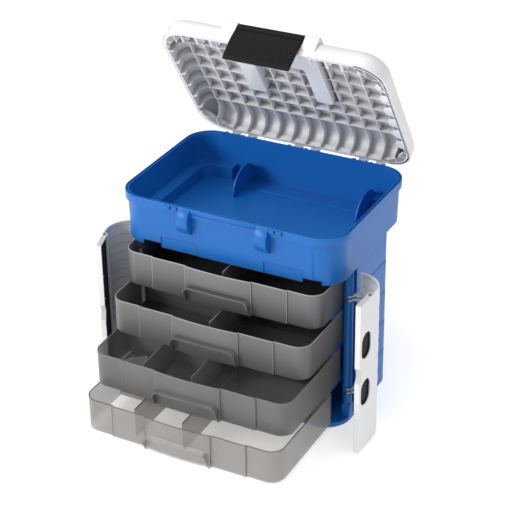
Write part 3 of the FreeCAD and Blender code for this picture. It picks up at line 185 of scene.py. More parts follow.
# slow unevenness in tone and roughness, and the fine grain of the mould
CLOUD_SCALE, TONE_SPREAD, ROUGHNESS_SPREAD = 9, 0.03, 0.05
GRAIN_SCALE, GRAIN_DETAIL, GRAIN_DEPTH = 1400, 2, 0.1 * MM
# how open to the light the deepest pocket is, and where a surface counts as out of it
POCKET_OPEN, SURFACE_OPEN, POCKET_SAMPLES = 0.25, 0.8, 8
# the pins: colour, the scale of their unevenness, and roughness from and to
STEEL_COLOUR, STEEL_SCALE, STEEL_SMOOTH, STEEL_DULL = (0.62, 0.62, 0.63), 300, 0.25, 0.4


def new_material(name):
    """A material with its shader and its node tree."""
    material = bpy.data.materials.new(name)
    material.use_nodes = True
    tree = material.node_tree
    shader = tree.nodes["Principled BSDF"]
    return material, shader, tree


def link_noise(tree, scale, detail=3):
    """A noise texture in object coordinates, so that it rides with its piece."""
    place = tree.nodes.new("ShaderNodeTexCoord")
    noise = tree.nodes.new("ShaderNodeTexNoise")
    noise.inputs["Scale"].default_value = scale
    noise.inputs["Detail"].default_value = detail
    tree.links.new(place.outputs["Object"], noise.inputs["Vector"])
    return noise.outputs["Fac"]


def link_range(tree, value, to_min, to_max, from_min=0, from_max=1):
    """A value carried over from one range to another, and held inside it."""
    change = tree.nodes.new("ShaderNodeMapRange")
    change.inputs["From Min"].default_value = from_min
    change.inputs["From Max"].default_value = from_max
    change.inputs["To Min"].default_value = to_min
    change.inputs["To Max"].default_value = to_max
    tree.links.new(value, change.inputs["Value"])
    return change.outputs["Result"]


def link_mix(tree, factor, first):
    """A colour mix that starts from first; its second colour is its socket B."""
    mix = tree.nodes.new("ShaderNodeMix")
    mix.data_type = "RGBA"
    mix.inputs["A"].default_value = (*first, 1)
    tree.links.new(factor, mix.inputs["Factor"])
    return mix


def link_math(tree, operation, *values):
    """The result of a sum on one or two linked values."""
    maths = tree.nodes.new("ShaderNodeMath")
    maths.operation = operation
    for number, value in enumerate(values):
        tree.links.new(value, maths.inputs[number])
    return maths.outputs["Value"]


def moulded_plastic(name, colour, roughness, grain=0.12, specular=0.32, pocket_shade=None, reach=None):
    """Moulded polypropylene: a satin skin with a fine spark-eroded grain and slight unevenness.

    In pockets that are closed in within reach, painted shade turns it towards a darker pocket
    colour.
    """
    material, shader, tree = new_material(name)
    shader.inputs["Specular IOR Level"].default_value = specular
    cloudy = link_noise(tree, CLOUD_SCALE)
    tone = link_mix(tree, cloudy, [c * (1 - TONE_SPREAD) for c in colour])
    lighter = [min(1, c * (1 + TONE_SPREAD)) for c in colour]
    tone.inputs["B"].default_value = (*lighter, 1)
    # painted shade: ambient occlusion darkens the colour in pockets
    if pocket_shade:
        pocket = tree.nodes.new("ShaderNodeAmbientOcclusion")
        pocket.inputs["Distance"].default_value = reach
        pocket.samples = POCKET_SAMPLES
        depth = link_range(tree, pocket.outputs["AO"], 0, 1, POCKET_OPEN, SURFACE_OPEN)
        shaded_tone = link_mix(tree, depth, pocket_shade)
        tree.links.new(tone.outputs["Result"], shaded_tone.inputs["B"])
        tone = shaded_tone
    tree.links.new(tone.outputs["Result"], shader.inputs["Base Color"])
    tree.links.new(link_range(tree, cloudy, roughness - ROUGHNESS_SPREAD,
                              roughness + ROUGHNESS_SPREAD), shader.inputs["Roughness"])
    bump = tree.nodes.new("ShaderNodeBump")
    bump.inputs["Strength"].default_value = grain
    bump.inputs["Distance"].default_value = GRAIN_DEPTH
    tree.links.new(link_noise(tree, GRAIN_SCALE, GRAIN_DETAIL), bump.inputs["Height"])
    tree.links.new(bump.outputs["Normal"], shader.inputs["Normal"])
    return material


def smoke_plastic(name, number, wall, floor, wall_cover, floor_cover):
    """Smoked polystyrene: upright walls frosted by the mould, floors polished and clearer."""
    material, shader, tree = new_material(name)
    shader.inputs["IOR"].default_value = SMOKE_IOR
    surface = tree.nodes.new("ShaderNodeNewGeometry")
    facing = tree.nodes.new("ShaderNodeSeparateXYZ")
    tree.links.new(surface.outputs["True Normal"], facing.inputs["Vector"])
    tilt = link_math(tree, "ABSOLUTE", facing.outputs["Z"])
    for socket, upright, level in (
            ("Alpha", wall_cover, floor_cover),
            ("Roughness", SMOKE_WALL_ROUGHNESS, SMOKE_FLOOR_ROUGHNESS)):
        tree.links.new(link_range(tree, tilt, upright, level, WALL_TILT, FLOOR_TILT),
                       shader.inputs[socket])
    # painted light and shade by facing: the floors take their own colour, darker than the walls in
    # the top two drawers and lighter in the lower two
    base = link_mix(tree, link_range(tree, tilt, 0, 1, WALL_TILT, FLOOR_TILT), wall)
    base.inputs["B"].default_value = (*floor, 1)
    cloudy = link_range(tree, link_noise(tree, SMOKE_CLOUD_SCALE),
                        1 - SMOKE_CLOUD_SPREAD, 1 + SMOKE_CLOUD_SPREAD)
    # painted shade: darker towards the foot of the wall, a little lighter at the rim
    place = tree.nodes.new("ShaderNodeTexCoord")
    height = tree.nodes.new("ShaderNodeSeparateXYZ")
    tree.links.new(place.outputs["Object"], height.inputs["Vector"])
    low = drawer_bottom(number) * MM
    rise = link_range(tree, height.outputs["Z"], FOOT_PAINTED_SHADE[number], TOP_PAINTED_LIGHT,
                      low, low + DRAWER_HEIGHT * MM)
    tone = tree.nodes.new("ShaderNodeHueSaturation")
    tree.links.new(link_math(tree, "MULTIPLY", cloudy, rise), tone.inputs["Value"])
    tree.links.new(base.outputs["Result"], tone.inputs["Color"])
    tree.links.new(tone.outputs["Color"], shader.inputs["Base Color"])
    return material


def steel():
    """Drawn steel wire, a little uneven in its shine."""
    material, shader, tree = new_material("steel_pin")
    shader.inputs["Metallic"].default_value = 1
    shader.inputs["Base Color"].default_value = (*STEEL_COLOUR, 1)
    tree.links.new(link_range(tree, link_noise(tree, STEEL_SCALE), STEEL_SMOOTH, STEEL_DULL),
                   shader.inputs["Roughness"])
    return material


def make_materials():
    """Every material by its name, and each smoked one by the node that wears it."""
    made = {name: moulded_plastic(name, colour, roughness, **rest)
            for name, (colour, roughness, rest) in PLASTICS.items()}
    made["steel_pin"] = steel()
    for number, look in SMOKE_AND_SHADE.items():
        made["drawer_tray_%d" % number] = smoke_plastic("smoke_plastic_%d" % number, number,
                                                        *look)
        tint, cover = DIVIDER_TINTS_AND_SHADE[number]
        made["drawer_dividers_%d" % number] = smoke_plastic(
            "smoke_divider_%d" % number, number, tint, tint, cover, cover)
    return made


def dress_nodes():
    """Give every CAD node its material: its own one, or else its slot's."""
    for row in frame["record"]["subparts"]:
        piece = nodes[row["node"]]
        look = row["node"] if row["node"] in materials else row["material_slot"]
        piece.data.materials.clear()
        piece.data.materials.append(materials[look])


# ---------------------------------------------------------------- making pieces

CAD_ROUND, CAD_WELD, CAD_EDGE_ANGLE = 0.4 * MM, 0.002 * MM, math.radians(35)
PIECE_ROUND, PIECE_EDGE_ANGLE = 0.15 * MM, math.radians(50)
# how many steps make a bead's half circle, a rim's corner and a drawer's corner
BEAD_STEPS, CORNER_STEPS, DRAWER_CORNER_STEPS = 5, 10, 6


def soften(piece):
    """Round a CAD piece's edges a little, as a mould leaves them."""
    weld = piece.modifiers.new("weld", "WELD")
    weld.merge_threshold = CAD_WELD
    bevel = piece.modifiers.new("bevel", "BEVEL")
    bevel.width = CAD_ROUND
    bevel.segments = 2
    bevel.limit_method = "ANGLE"
    bevel.angle_limit = CAD_EDGE_ANGLE
    bevel.use_clamp_overlap = True
    bevel.harden_normals = True


def finish_piece(name, work, body, slot, look=None, smooth=True):
    """Turn a bmesh, drawn in millimetres, into a piece that rides on a body."""
    bmesh.ops.recalc_face_normals(work, faces=work.faces)
    bmesh.ops.scale(work, vec=(MM, MM, MM), verts=work.verts)
    mesh = bpy.data.meshes.new(name)
    work.to_mesh(mesh)
    work.free()
    for face in mesh.polygons:
        face.use_smooth = smooth
    mesh.materials.append(materials[look or slot])
    piece = bpy.data.objects.new(name, mesh)
    bpy.context.scene.collection.objects.link(piece)
    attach(piece, body)
    edge = piece.modifiers.new("edge", "BEVEL")
    edge.width = PIECE_ROUND
    edge.segments = 1
    edge.limit_method = "ANGLE"
    edge.angle_limit = PIECE_EDGE_ANGLE
    edge.harden_normals = True


def add_skin(work, sections, closed=False):
    """A closed skin over a row of sections that have the same number of points."""
    rings = [[work.verts.new(spot) for spot in section] for section in sections]
    after = rings[1:] + rings[:1] if closed else rings[1:]
    for near, far in zip(rings, after):
        count = len(near)
        for step in range(count):
            past = (step + 1) % count
            work.faces.new((near[step], near[past], far[past], far[step]))
    if not closed:
        work.faces.new(rings[0][::-1])
        work.faces.new(rings[-1])


def add_bead(work, path, half_width, height):
    """A half-round bead that lies along a closed path."""
    turns = [math.pi * step / BEAD_STEPS for step in range(BEAD_STEPS + 1)]
    sections = []
    for number, here in enumerate(path):
        out = outward(path, number)
        sections.append([here + out * (half_width * math.cos(turn))
                         + UP * (height * math.sin(turn)) for turn in turns])
    add_skin(work, sections, closed=True)


def aside(ahead):
    """The level direction to the right of ahead."""
    return Vector((ahead.y, -ahead.x, 0))


def outward(path, number):
    """The level direction out of a closed path at one of its points."""
    return aside((path[(number + 1) % len(path)] - path[number - 1]).normalized())


def arc(x, y, radius, start, turn, steps):
    """Points on an arc round x, y that starts at start degrees and turns on by turn degrees."""
    points = []
    for step in range(steps + 1):
        angle = math.radians(start + turn * step / steps)
        points.append((x + radius * math.cos(angle), y + radius * math.sin(angle)))
    return points


def rounded_path(half_x, front, back, radius):
    """Points round a rectangle with rounded corners, from its right front corner."""
    points = []
    for x, y, start in ((half_x - radius, front + radius, -90),
                        (half_x - radius, back - radius, 0),
                        (radius - half_x, back - radius, 90),
                        (radius - half_x, front + radius, 180)):
        points += [Vector((*spot, 0)) for spot in arc(x, y, radius, start, 90, CORNER_STEPS)]
    return points


def walk(points, distance):
    """The place and direction at a distance along a closed row of points."""
    for here, there in zip(points, points[1:] + points[:1]):
        run = (there - here).length
        if run and distance <= run:
            return here + (there - here) * (distance / run), (there - here) / run
        distance -= run
    return points[0], (points[1] - points[0]).normalized()


def path_length(points):
    """The length of a closed row of points."""
    return sum((there - here).length for here, there in zip(points, points[1:] + points[:1]))


# ---------------------------------------------------------------- the bin's rim

GROOVE_START, GROOVE_END, GROOVE_DEPTH = 1.6, 4.6, 3
# the webs: distances between them round the rim, and what is left free at the row's start and
# end; half their thickness at the foot and at the top, their height, and how far they are sunk
WEB_STEPS, WEB_FIRST, WEB_LAST = (23, 31, 17, 38, 26, 44, 19, 35), 12, 8
WEB_FOOT, WEB_TOP, WEB_HEIGHT, WEB_SUNK = 0.55, 0.4, 2.7, 0.1
# the shiny edge, paler by a painted highlight: its middle's place in from the rim's outer edge,
# its radius, and how low it lies
EDGE_INSET, EDGE_RADIUS, EDGE_DROP = 0.75, 0.72, 0.3


def rim_path(inset, height):
    """A line round the rim, in from its outer edge."""
    path = rounded_path(HALF_WIDTH - inset, inset - HALF_DEPTH, HALF_DEPTH - inset,
                        RIM_CORNER - inset)
    return [here + UP * height for here in path]


def rim_webs():
    """Thin webs that cross the groove of the rim at uneven distances."""
    work = bmesh.new()
    path = rim_path((GROOVE_START + GROOVE_END) / 2, RIM_TOP - GROOVE_DEPTH - WEB_SUNK)
    reach = (GROOVE_END - GROOVE_START) / 2 + WEB_SUNK
    top = UP * WEB_HEIGHT
    distance, count = WEB_FIRST, 0
    while distance < path_length(path) - WEB_LAST:
        base, ahead = walk(path, distance)
        sections = []
        for end in (-1, 1):
            near = base + aside(ahead) * (reach * end)
            sections.append([near - ahead * WEB_FOOT, near + ahead * WEB_FOOT,
                             near + ahead * WEB_TOP + top, near - ahead * WEB_TOP + top])
        add_skin(work, sections)
        distance += WEB_STEPS[count % len(WEB_STEPS)]
        count += 1
    finish_piece("rim_webs", work, "cabinet", "blue_plastic")


def rim_edge():
    """The rounded outer edge of the rim, shinier from the mould and paler by a painted highlight.
    """
    work = bmesh.new()
    add_bead(work, rim_path(EDGE_INSET, RIM_TOP - EDGE_DROP), EDGE_RADIUS, EDGE_RADIUS)
    finish_piece("rim_edge", work, "cabinet", "blue_plastic", look="blue_edge")


# each piece of the ledge: from x, to x, how far it stands out; the closed clasp passes in front
LEDGE_SPANS = ((-58.5, 58.5, 1.15), (-91, -82, 3.4), (-104, -95, 3.4), (82, 91, 3.4),
               (95, 104, 3.4))
# its face from the top down: how far each point lies behind it, and its height
LEDGE_FACE = ((0.4, 364.4), (0, 363.8), (0, 359.4), (0.6, 358))
LEDGE_ROOT, LEDGE_TOP, LEDGE_LOW, LEDGE_CHAMFER = 0.8, 364.4, 357.6, 0.4


def catch_ledge():
    """The ledge of the rim between the hooks, and the small blocks beside them."""
    work = bmesh.new()
    root = LEDGE_ROOT - HALF_DEPTH
    for left, right, reach in LEDGE_SPANS:
        sections = []
        for x, inset in ((left, LEDGE_CHAMFER), (left + LEDGE_CHAMFER, 0),
                         (right - LEDGE_CHAMFER, 0), (right, LEDGE_CHAMFER)):
            face = inset - HALF_DEPTH - reach
            outline = [(root, LEDGE_TOP), *((face + behind, z) for behind, z in LEDGE_FACE),
                       (root, LEDGE_LOW)]
            sections.append([Vector((x, y, z)) for y, z in outline])
        add_skin(work, sections)
    finish_piece("catch_ledge", work, "cabinet", "blue_plastic")


HINGE_SPACING = 121
# each web's place beside the middle of its hinge, and its half thickness
STUB_PLACES = ((-27, 2.8), (-4.5, 1.4), (4.5, 1.4), (27, 2.8))
STUB_OUTLINE = ((140.8, 351), (140.8, 363.8), (144.4, 363.8), (148.5, 363), (150.2, 351))


def hinge_stubs():
    """The upright webs that brace the bin's hinge knuckles behind the rim."""
    work = bmesh.new()
    for centre in (-HINGE_SPACING, 0, HINGE_SPACING):
        for offset, half in STUB_PLACES:
            x = centre + offset
            add_skin(work, [[Vector((x + end, y, z)) for y, z in STUB_OUTLINE]
                            for end in (-half, half)])
    finish_piece("hinge_stubs", work, "cabinet", "blue_plastic")


BIN_BOTTOM, PANEL_RISE, PANEL_WIDTH = 280, 21, 68
NOTCH_LEFT, NOTCH_RIGHT, NOTCH_RISE = -119, 136, 8.5
HOOK_CENTRE, HOOK_HALF, HOOK_LOW = 70, 10.5, 319
# the bin's front wall: its place at the foot, and how far it leans out over what height
WALL_FRONT, WALL_LEAN, WALL_HEIGHT = -135, 2, 71
# half the width of an upright and of a level joint, and how deep in and proud of the wall they
# lie; how far a joint starts above the bin's lower edge, and ends below a hook's
LINE_UPRIGHT, LINE_LEVEL, LINE_SUNK, LINE_PROUD = 0.35, 0.4, 0.4, 0.12
LINE_LOW_GAP, LINE_HOOK_GAP = 0.5, 1
UNDERCUT_HALF, UNDERCUT_TOP, UNDERCUT_LOW, UNDERCUT_SUNK = 58, 357.9, 356.6, 0.5


def add_line(work, x1, z1, x2, z2):
    """A narrow joint on the bin's front, upright or level."""
    upright = x1 == x2
    half = LINE_UPRIGHT if upright else LINE_LEVEL
    sections = []
    for x, z in ((x1, z1), (x2, z2)):
        y = WALL_FRONT - WALL_LEAN * (z - BIN_BOTTOM) / WALL_HEIGHT
        ring = []
        for shift, depth in ((-half, LINE_SUNK), (-half, -LINE_PROUD), (half, -LINE_PROUD),
                             (half, LINE_SUNK)):
            across, rise = (shift, 0) if upright else (0, shift)
            ring.append(Vector((x + across, y + depth, z + rise)))
        sections.append(ring)
    add_skin(work, sections)


def panel_lines():
    """Painted shadow in the joints round the set-back panels of the bin's front, and below the
    hooks.
    """
    work = bmesh.new()
    top = BIN_BOTTOM + PANEL_RISE
    for start, end in ((NOTCH_LEFT, NOTCH_LEFT + PANEL_WIDTH),
                       (NOTCH_RIGHT, NOTCH_RIGHT - PANEL_WIDTH)):
        add_line(work, min(start, end), top, max(start, end), top)
        add_line(work, end, BIN_BOTTOM + LINE_LOW_GAP, end, top)
        add_line(work, start, BIN_BOTTOM + NOTCH_RISE, start, top)
    # the left one starts above the level joint that it would cross
    for side, above in ((-1, 1), (1, 0)):
        edge = side * (HOOK_CENTRE - HOOK_HALF)
        add_line(work, edge, top + above, edge, HOOK_LOW - LINE_HOOK_GAP)
    # the painted shadow of the undercut below the ledge of the rim
    deep, proud = UNDERCUT_SUNK - HALF_DEPTH, -HALF_DEPTH - LINE_PROUD
    add_skin(work, [[Vector((x, y, z)) for y, z in (
        (deep, UNDERCUT_TOP), (proud, UNDERCUT_TOP), (proud, UNDERCUT_LOW), (deep, UNDERCUT_LOW))]
        for x in (-UNDERCUT_HALF, UNDERCUT_HALF)])
    finish_piece("panel_lines", work, "cabinet", "blue_plastic", look="blue_shade")


# ---------------------------------------------------------------- the lid

LID_OPEN = math.radians(56.75)
LID_HINGE = Vector((0, 144.4, 345.3))
LID_AHEAD = Vector((0, math.cos(LID_OPEN), -math.sin(LID_OPEN)))
LID_UP = Vector((0, math.sin(LID_OPEN), math.cos(LID_OPEN)))
ACROSS = Vector((1, 0, 0))
LID_FRONT, LID_BACK, LID_BOTTOM, ROW_PITCH = -285.4, -3.4, 20.3, 32.3


def on_lid(x, y, z):
    """A place in the lid's own frame, as the lid stands open."""
    return LID_HINGE + ACROSS * x + LID_AHEAD * y + LID_UP * z


PEG_PLACES = (-180, -154, -127.5, -101, 75, 103, 129, 157)
PEG_INSET, PEG_RAISED, PEG_LENGTH, PEG_RADIUS, PEG_SIDES = 6, 2.4, 21, 2.5, 10
# how far along the peg, and the share of its radius that is left there
PEG_PROFILE = ((0, 1), (0.75, 0.94), (0.93, 0.9), (1, 0.64))
# the thin web that carries a peg: distances from the lid's front edge and from its lower one
PEG_WEB, PEG_WEB_HALF = ((6.3, 1.5), (6.3, 13), (27, 13), (25, 2.2)), 1.2


def lid_pegs():
    """Short round pegs inside the front edge, four at each side of the clasp, on thin webs."""
    work = bmesh.new()
    for x in PEG_PLACES:
        root = on_lid(x, LID_FRONT + PEG_INSET, LID_BOTTOM + PEG_RAISED)
        sections = []
        for share, size in PEG_PROFILE:
            ring = arc(0, 0, PEG_RADIUS * size, 0, 360 - 360 / PEG_SIDES, PEG_SIDES - 1)
            sections.append([root + LID_AHEAD * (PEG_LENGTH * share) + ACROSS * a + LID_UP * b
                             for a, b in ring])
        add_skin(work, sections)
        add_skin(work, [[on_lid(x + end, LID_FRONT + y, LID_BOTTOM + z) for y, z in PEG_WEB]
                        for end in (-PEG_WEB_HALF, PEG_WEB_HALF)])
    finish_piece("lid_pegs", work, "lid", "white_plastic", look="peg_plastic")


SCALLOP_ROWS = (-2.5, -1.5, -0.5, 0.5, 1.5, 2.5)
# how far a rounded end stands in from its root, half its width, and how full its curve is
SCALLOP_REACH, SCALLOP_HALF, SCALLOP_POWER, SCALLOP_STEPS = 19, 12.5, 0.8, 8
SCALLOP_OUTER, SCALLOP_INNER = 193.6, 193.4
SCALLOP_OUTER_HEIGHTS, SCALLOP_INNER_HEIGHTS = (2.2, 4.4), (5.5, 6.9)


def lid_scallops():
    """The rounded ends of the rows of ribs at the lid's right side."""
    work = bmesh.new()
    middle = (LID_FRONT + LID_BACK) / 2
    (low, high), (inner_low, inner_high) = SCALLOP_OUTER_HEIGHTS, SCALLOP_INNER_HEIGHTS
    for row in SCALLOP_ROWS:
        y = middle + ROW_PITCH * row
        sections = []
        for share in range(SCALLOP_STEPS + 1):
            turn = math.pi * share / SCALLOP_STEPS
            reach = SCALLOP_REACH * math.sin(turn) ** SCALLOP_POWER
            spot = y - SCALLOP_HALF * math.cos(turn)
            inner = SCALLOP_INNER - reach
            sections.append([on_lid(x, spot, LID_BOTTOM + z) for x, z in (
                (SCALLOP_OUTER, low), (inner, inner_low), (inner, inner_high),
                (SCALLOP_OUTER, high))])
        add_skin(work, sections)
    finish_piece("lid_scallops", work, "lid", "white_plastic", look="peg_plastic")


# the painted shade of shallow pockets at the lid's corners, each a lens between the edge's arc and
# a flatter one: the radius of each arc, where the lens's tips lie, and the centre of the flatter
# arc
POCKET_EDGE, POCKET_FLAT, POCKET_TIP = 39.2, 69.6, -9
POCKET_CENTRE = 40.4 - POCKET_FLAT
# the flatter arc's start and turn in degrees, and the levels of a pocket's floor
POCKET_FLAT_START, POCKET_FLAT_TURN, POCKET_FLAT_STEPS = 73, -56, 14
POCKET_LEVELS = (-0.3, 0.2)
# where the ribs cross a pocket, and a rib's outline: distance from its middle, and level
POCKET_RIBS, POCKET_RIB = (0, 15), ((-0.8, 0.1), (-0.6, 0.34), (0.6, 0.34), (0.8, 0.1))
# each corner: its side, its end, and the centre of its arc along the lid
LID_CORNERS = [(side, end, y) for side in (-1, 1)
               for end, y in ((-1, LID_FRONT + RIM_CORNER), (1, LID_BACK - RIM_CORNER))]


def on_corner(corner, x, y, level):
    """A place from the centre of a lid corner's arc, and a level below the lid's lower edge."""
    side, end, middle = corner
    return on_lid(side * (HALF_WIDTH - RIM_CORNER + x), middle + end * y, LID_BOTTOM - level)


def lid_corner_pocket_shade():
    """Dark plates of painted shade for shallow pockets in the webs at the lid's corners, and their
    ribs.
    """
    floors, ribs = bmesh.new(), bmesh.new()
    outline = [(POCKET_EDGE, POCKET_TIP), *arc(0, 0, POCKET_EDGE, 0, 90, CORNER_STEPS),
               (POCKET_TIP, POCKET_EDGE),
               *arc(POCKET_CENTRE, POCKET_CENTRE, POCKET_FLAT, POCKET_FLAT_START,
                    POCKET_FLAT_TURN, POCKET_FLAT_STEPS)]
    for corner in LID_CORNERS:
        add_skin(floors, [[on_corner(corner, x, y, level) for x, y in outline]
                          for level in POCKET_LEVELS])
        for spot in POCKET_RIBS:
            near = POCKET_CENTRE + math.sqrt(POCKET_FLAT ** 2 - (spot - POCKET_CENTRE) ** 2)
            far = math.sqrt(POCKET_EDGE ** 2 - spot ** 2)
            add_skin(ribs, [[on_corner(corner, spot + a, run, level) for a, level in POCKET_RIB]
                            for run in (near, far)])
            add_skin(ribs, [[on_corner(corner, run, spot + a, level) for a, level in POCKET_RIB]
                            for run in (near, far)])
    # the pockets' floors are coloured with painted shade
    finish_piece("lid_corner_pocket_shade", floors, "lid", "pan_plastic", look="pan_shade",
                 smooth=False)
    finish_piece("lid_corner_ribs", ribs, "lid", "pan_plastic", look="peg_plastic")


# how far the lip lies inside the lid's edge; the dark one, which also paints the gap's shadow,
# shows to the right of a place across the lid, and on the right half this near the lid's front
LIP_INSET, LIP_SIDE, LIP_FRONT = 4.5, 150, 60


def lid_seal_shadow_lip():
    """The seal's lip, a dark line at the lid's right and front that also paints the shadow of the
    gap there; a white lip hides it elsewhere.
    """
    path = rounded_path(HALF_WIDTH - LIP_INSET, LID_FRONT + LIP_INSET, LID_BACK - LIP_INSET,
                        RIM_CORNER - LIP_INSET)
    count = len(path)
    shows = [here.x > LIP_SIDE or (here.y < LID_FRONT + LIP_FRONT and here.x > 0)
             for here in path]
    first = next(n for n in range(count) if shows[n] and not shows[n - 1])
    last = first + sum(shows)
    # each lip: where it begins and ends, its slot, its section across the path and in height
    for name, begin, end, slot, across, heights in (
            ("lid_seal_shadow_lip", first, last, "seal_rubber",
             (-0.66, 0.62, 0.6, -0.66), (1.5, 1.5, -0.4, -0.4)),
            ("lid_inner_lip", last - 1, first + count + 1, "white_plastic",
             (-2.4, 1.6, 1.5, -2.4), (1.35, 1.35, 0.15, 0.15))):
        work = bmesh.new()
        sections = []
        for number in range(begin, end):
            here = path[number % count]
            out = outward(path, number % count)
            spots = [here + out * offset for offset in across]
            sections.append([on_lid(spot.x, spot.y, LID_BOTTOM + height)
                             for spot, height in zip(spots, heights)])
        add_skin(work, sections)
        finish_piece(name, work, "lid", slot)


# ---------------------------------------------------------------- the clasp

CLASP_HALF, CLASP_RIDGES, RIDGE_PROUD, RIDGE_BASE, RIDGE_SUNK = 56.8, 20, 1, 0.1, 0.4
CLASP_ARC = ((-289.1, 55.4), (-294.5, 24.5), (-291.0, -13.7))
# one ridge's outline in four steps; the steps left out at both ends; the step where the plain
# strip at the top ends; the step up to which the ridges stand further out, and by how much
RIDGE_WAVE = (0, 0.35, 1, 0.9)
RIDGE_MARGIN, RIDGE_PLAIN, RIDGE_BOLD, RIDGE_BOLD_PROUD = 3, 8, 16, 1.8
# the back of the ridges takes one step for this many of the face
RIDGE_BACK_STEP = 8


def circle_through(first, second, third):
    """The centre and radius of the circle through three places."""
    (ax, ay), (bx, by), (cx, cy) = first, second, third
    double = 2 * (ax * (by - cy) + bx * (cy - ay) + cx * (ay - by))
    a, b, c = ax ** 2 + ay ** 2, bx ** 2 + by ** 2, cx ** 2 + cy ** 2
    x = (a * (by - cy) + b * (cy - ay) + c * (ay - by)) / double
    y = (a * (cx - bx) + b * (ax - cx) + c * (bx - ax)) / double
    return x, y, math.hypot(ax - x, ay - y)


def clasp_ridges():
    """The fine grip ridges across the clasp's face, below a plain strip at its top."""
    work = bmesh.new()
    y0, z0, radius = circle_through(*CLASP_ARC)
    start, finish = (math.atan2(z - z0, y - y0) for y, z in (CLASP_ARC[0], CLASP_ARC[-1]))
    if finish < start:
        finish += 2 * math.pi
    steps = CLASP_RIDGES * len(RIDGE_WAVE)
    profile = []
    for step in range(RIDGE_MARGIN, steps - RIDGE_MARGIN):
        out = radius + RIDGE_BASE
        if step >= RIDGE_PLAIN:
            out += RIDGE_PROUD * RIDGE_WAVE[step % len(RIDGE_WAVE)]
            if step < RIDGE_BOLD:
                out += RIDGE_BOLD_PROUD
        profile.append((step, out))
    profile += [(step, radius - RIDGE_SUNK)
                for step in range(steps - RIDGE_MARGIN - 1, RIDGE_MARGIN - 1,
                              -RIDGE_BACK_STEP)]
    outline = []
    for step, out in profile:
        turn = start + (finish - start) * step / steps
        outline.append((y0 + out * math.cos(turn), z0 + out * math.sin(turn)))
    add_skin(work, [[on_lid(x, y, z) for y, z in outline] for x in (-CLASP_HALF, CLASP_HALF)])
    finish_piece("clasp_ridges", work, "clasp", "black_clasp", smooth=False)


# ---------------------------------------------------------------- the doors

POST_X, POST_Y = 187, -71
DOOR_ARC_X, DOOR_ARC_Y = -33, -19
DOOR_CORNER, DOOR_BOTTOM, DOOR_TOP = 45, 6, 277
DOOR_EDGE, DOOR_BOX_END, DOOR_FRONT, DOOR_BOX_BACK = -87, -43, -64, -55
PANEL_FIRST, PANEL_PITCH, PANEL_STEP, PANEL_COUNT = 34.75, 28.75, 1.6, 8
# each door's side, and how far it stands open
DOORS = {"right": (1, math.radians(88)), "left": (-1, math.radians(72))}


def on_door(name, x, y, z):
    """A place in a door's own frame, drawn closed, as the door stands open."""
    side, turn = DOORS[name]
    x, turn = side * x, side * turn
    return Vector((side * POST_X + x * math.cos(turn) - y * math.sin(turn),
                   POST_Y + x * math.sin(turn) + y * math.cos(turn), z))


# the left door stands at the object's widest, so its bands are flush there
BAND_PROUD, BAND_BASE, BAND_SUNK, BAND_POWER = {"right": 0.7, "left": 0.02}, 0.01, 0.5, 0.6
BAND_MARGIN, BAND_STEPS, BAND_LEVELS = 0.4, 12, 8


def door_bands(name):
    """The bulging bands round the door's corner, between the grooves of its skin."""
    work = bmesh.new()
    edges = [PANEL_FIRST + PANEL_PITCH * step for step in range(PANEL_COUNT)]
    lows = [DOOR_BOTTOM + BAND_MARGIN] + [edge + PANEL_STEP for edge in edges]
    highs = edges + [DOOR_TOP - BAND_MARGIN]
    inner = DOOR_CORNER - BAND_SUNK
    for low, high in zip(lows, highs):
        sections = []
        for step in range(BAND_STEPS + 1):
            turn = -math.pi / 2 * step / BAND_STEPS
            # the band fades out over two steps at its start and three at its end
            fade = min(1, (BAND_STEPS - step) / 3, (step + 1) / 2)
            ring = []
            for level in range(BAND_LEVELS + 1):
                share = level / BAND_LEVELS
                bulge = BAND_PROUD[name] * fade * math.sin(math.pi * share) ** BAND_POWER
                ring.append((DOOR_CORNER + BAND_BASE + bulge, low + (high - low) * share))
            ring += [(inner, high), (inner, low)]
            sections.append([on_door(name, DOOR_ARC_X + radius * math.cos(turn),
                                     DOOR_ARC_Y + radius * math.sin(turn), z)
                             for radius, z in ring])
        add_skin(work, sections)
    finish_piece("door_bands_" + name, work, name + "_door", "white_plastic")


LINER_RADIUS, LINER_OVERRUN, LINER_STEPS = 41.2, 1.4, 14
# the heights of the joints, below the door's top: two under the lip, then an even row
LINER_LEVELS = [4, 7.5] + [24 + 16.5 * step for step in range(15)]
# a joint's outline: how far out from the lining's arc, and its height
LINER_JOINT = ((0.3, 0), (-0.16, 0.1), (-0.16, 0.55), (0.3, 0.65))


def liner_lines(name):
    """The joints of the door's lining, dark with painted shade of their grooves: a double one
    under the lip, then an even row.
    """
    work = bmesh.new()
    path = arc(DOOR_ARC_X, DOOR_ARC_Y, LINER_RADIUS, 0, -90, LINER_STEPS)
    path.append((DOOR_BOX_END + LINER_OVERRUN, DOOR_ARC_Y - LINER_RADIUS))
    for drop in LINER_LEVELS:
        sections = []
        for x, y in path:
            away = Vector((x - DOOR_ARC_X, y - DOOR_ARC_Y)).normalized()
            sections.append([on_door(name, x + away.x * depth, y + away.y * depth,
                                     DOOR_TOP - drop + rise) for depth, rise in LINER_JOINT])
        add_skin(work, sections)
    finish_piece("liner_lines_" + name, work, name + "_door", "grey_liner", look="liner_shade")


# the finger notch: its centre outside the door's edge, radius, height, half angle, and how far
# its wall reaches past the box's front and back
FINGER_SET, FINGER_RADIUS, FINGER_LEVEL, FINGER_TURN = 14, 20, 150, 44
FINGER_HALF, FINGER_FRONT, FINGER_BACK, FINGER_STEPS = 0.5, 0.4, -0.2, 12


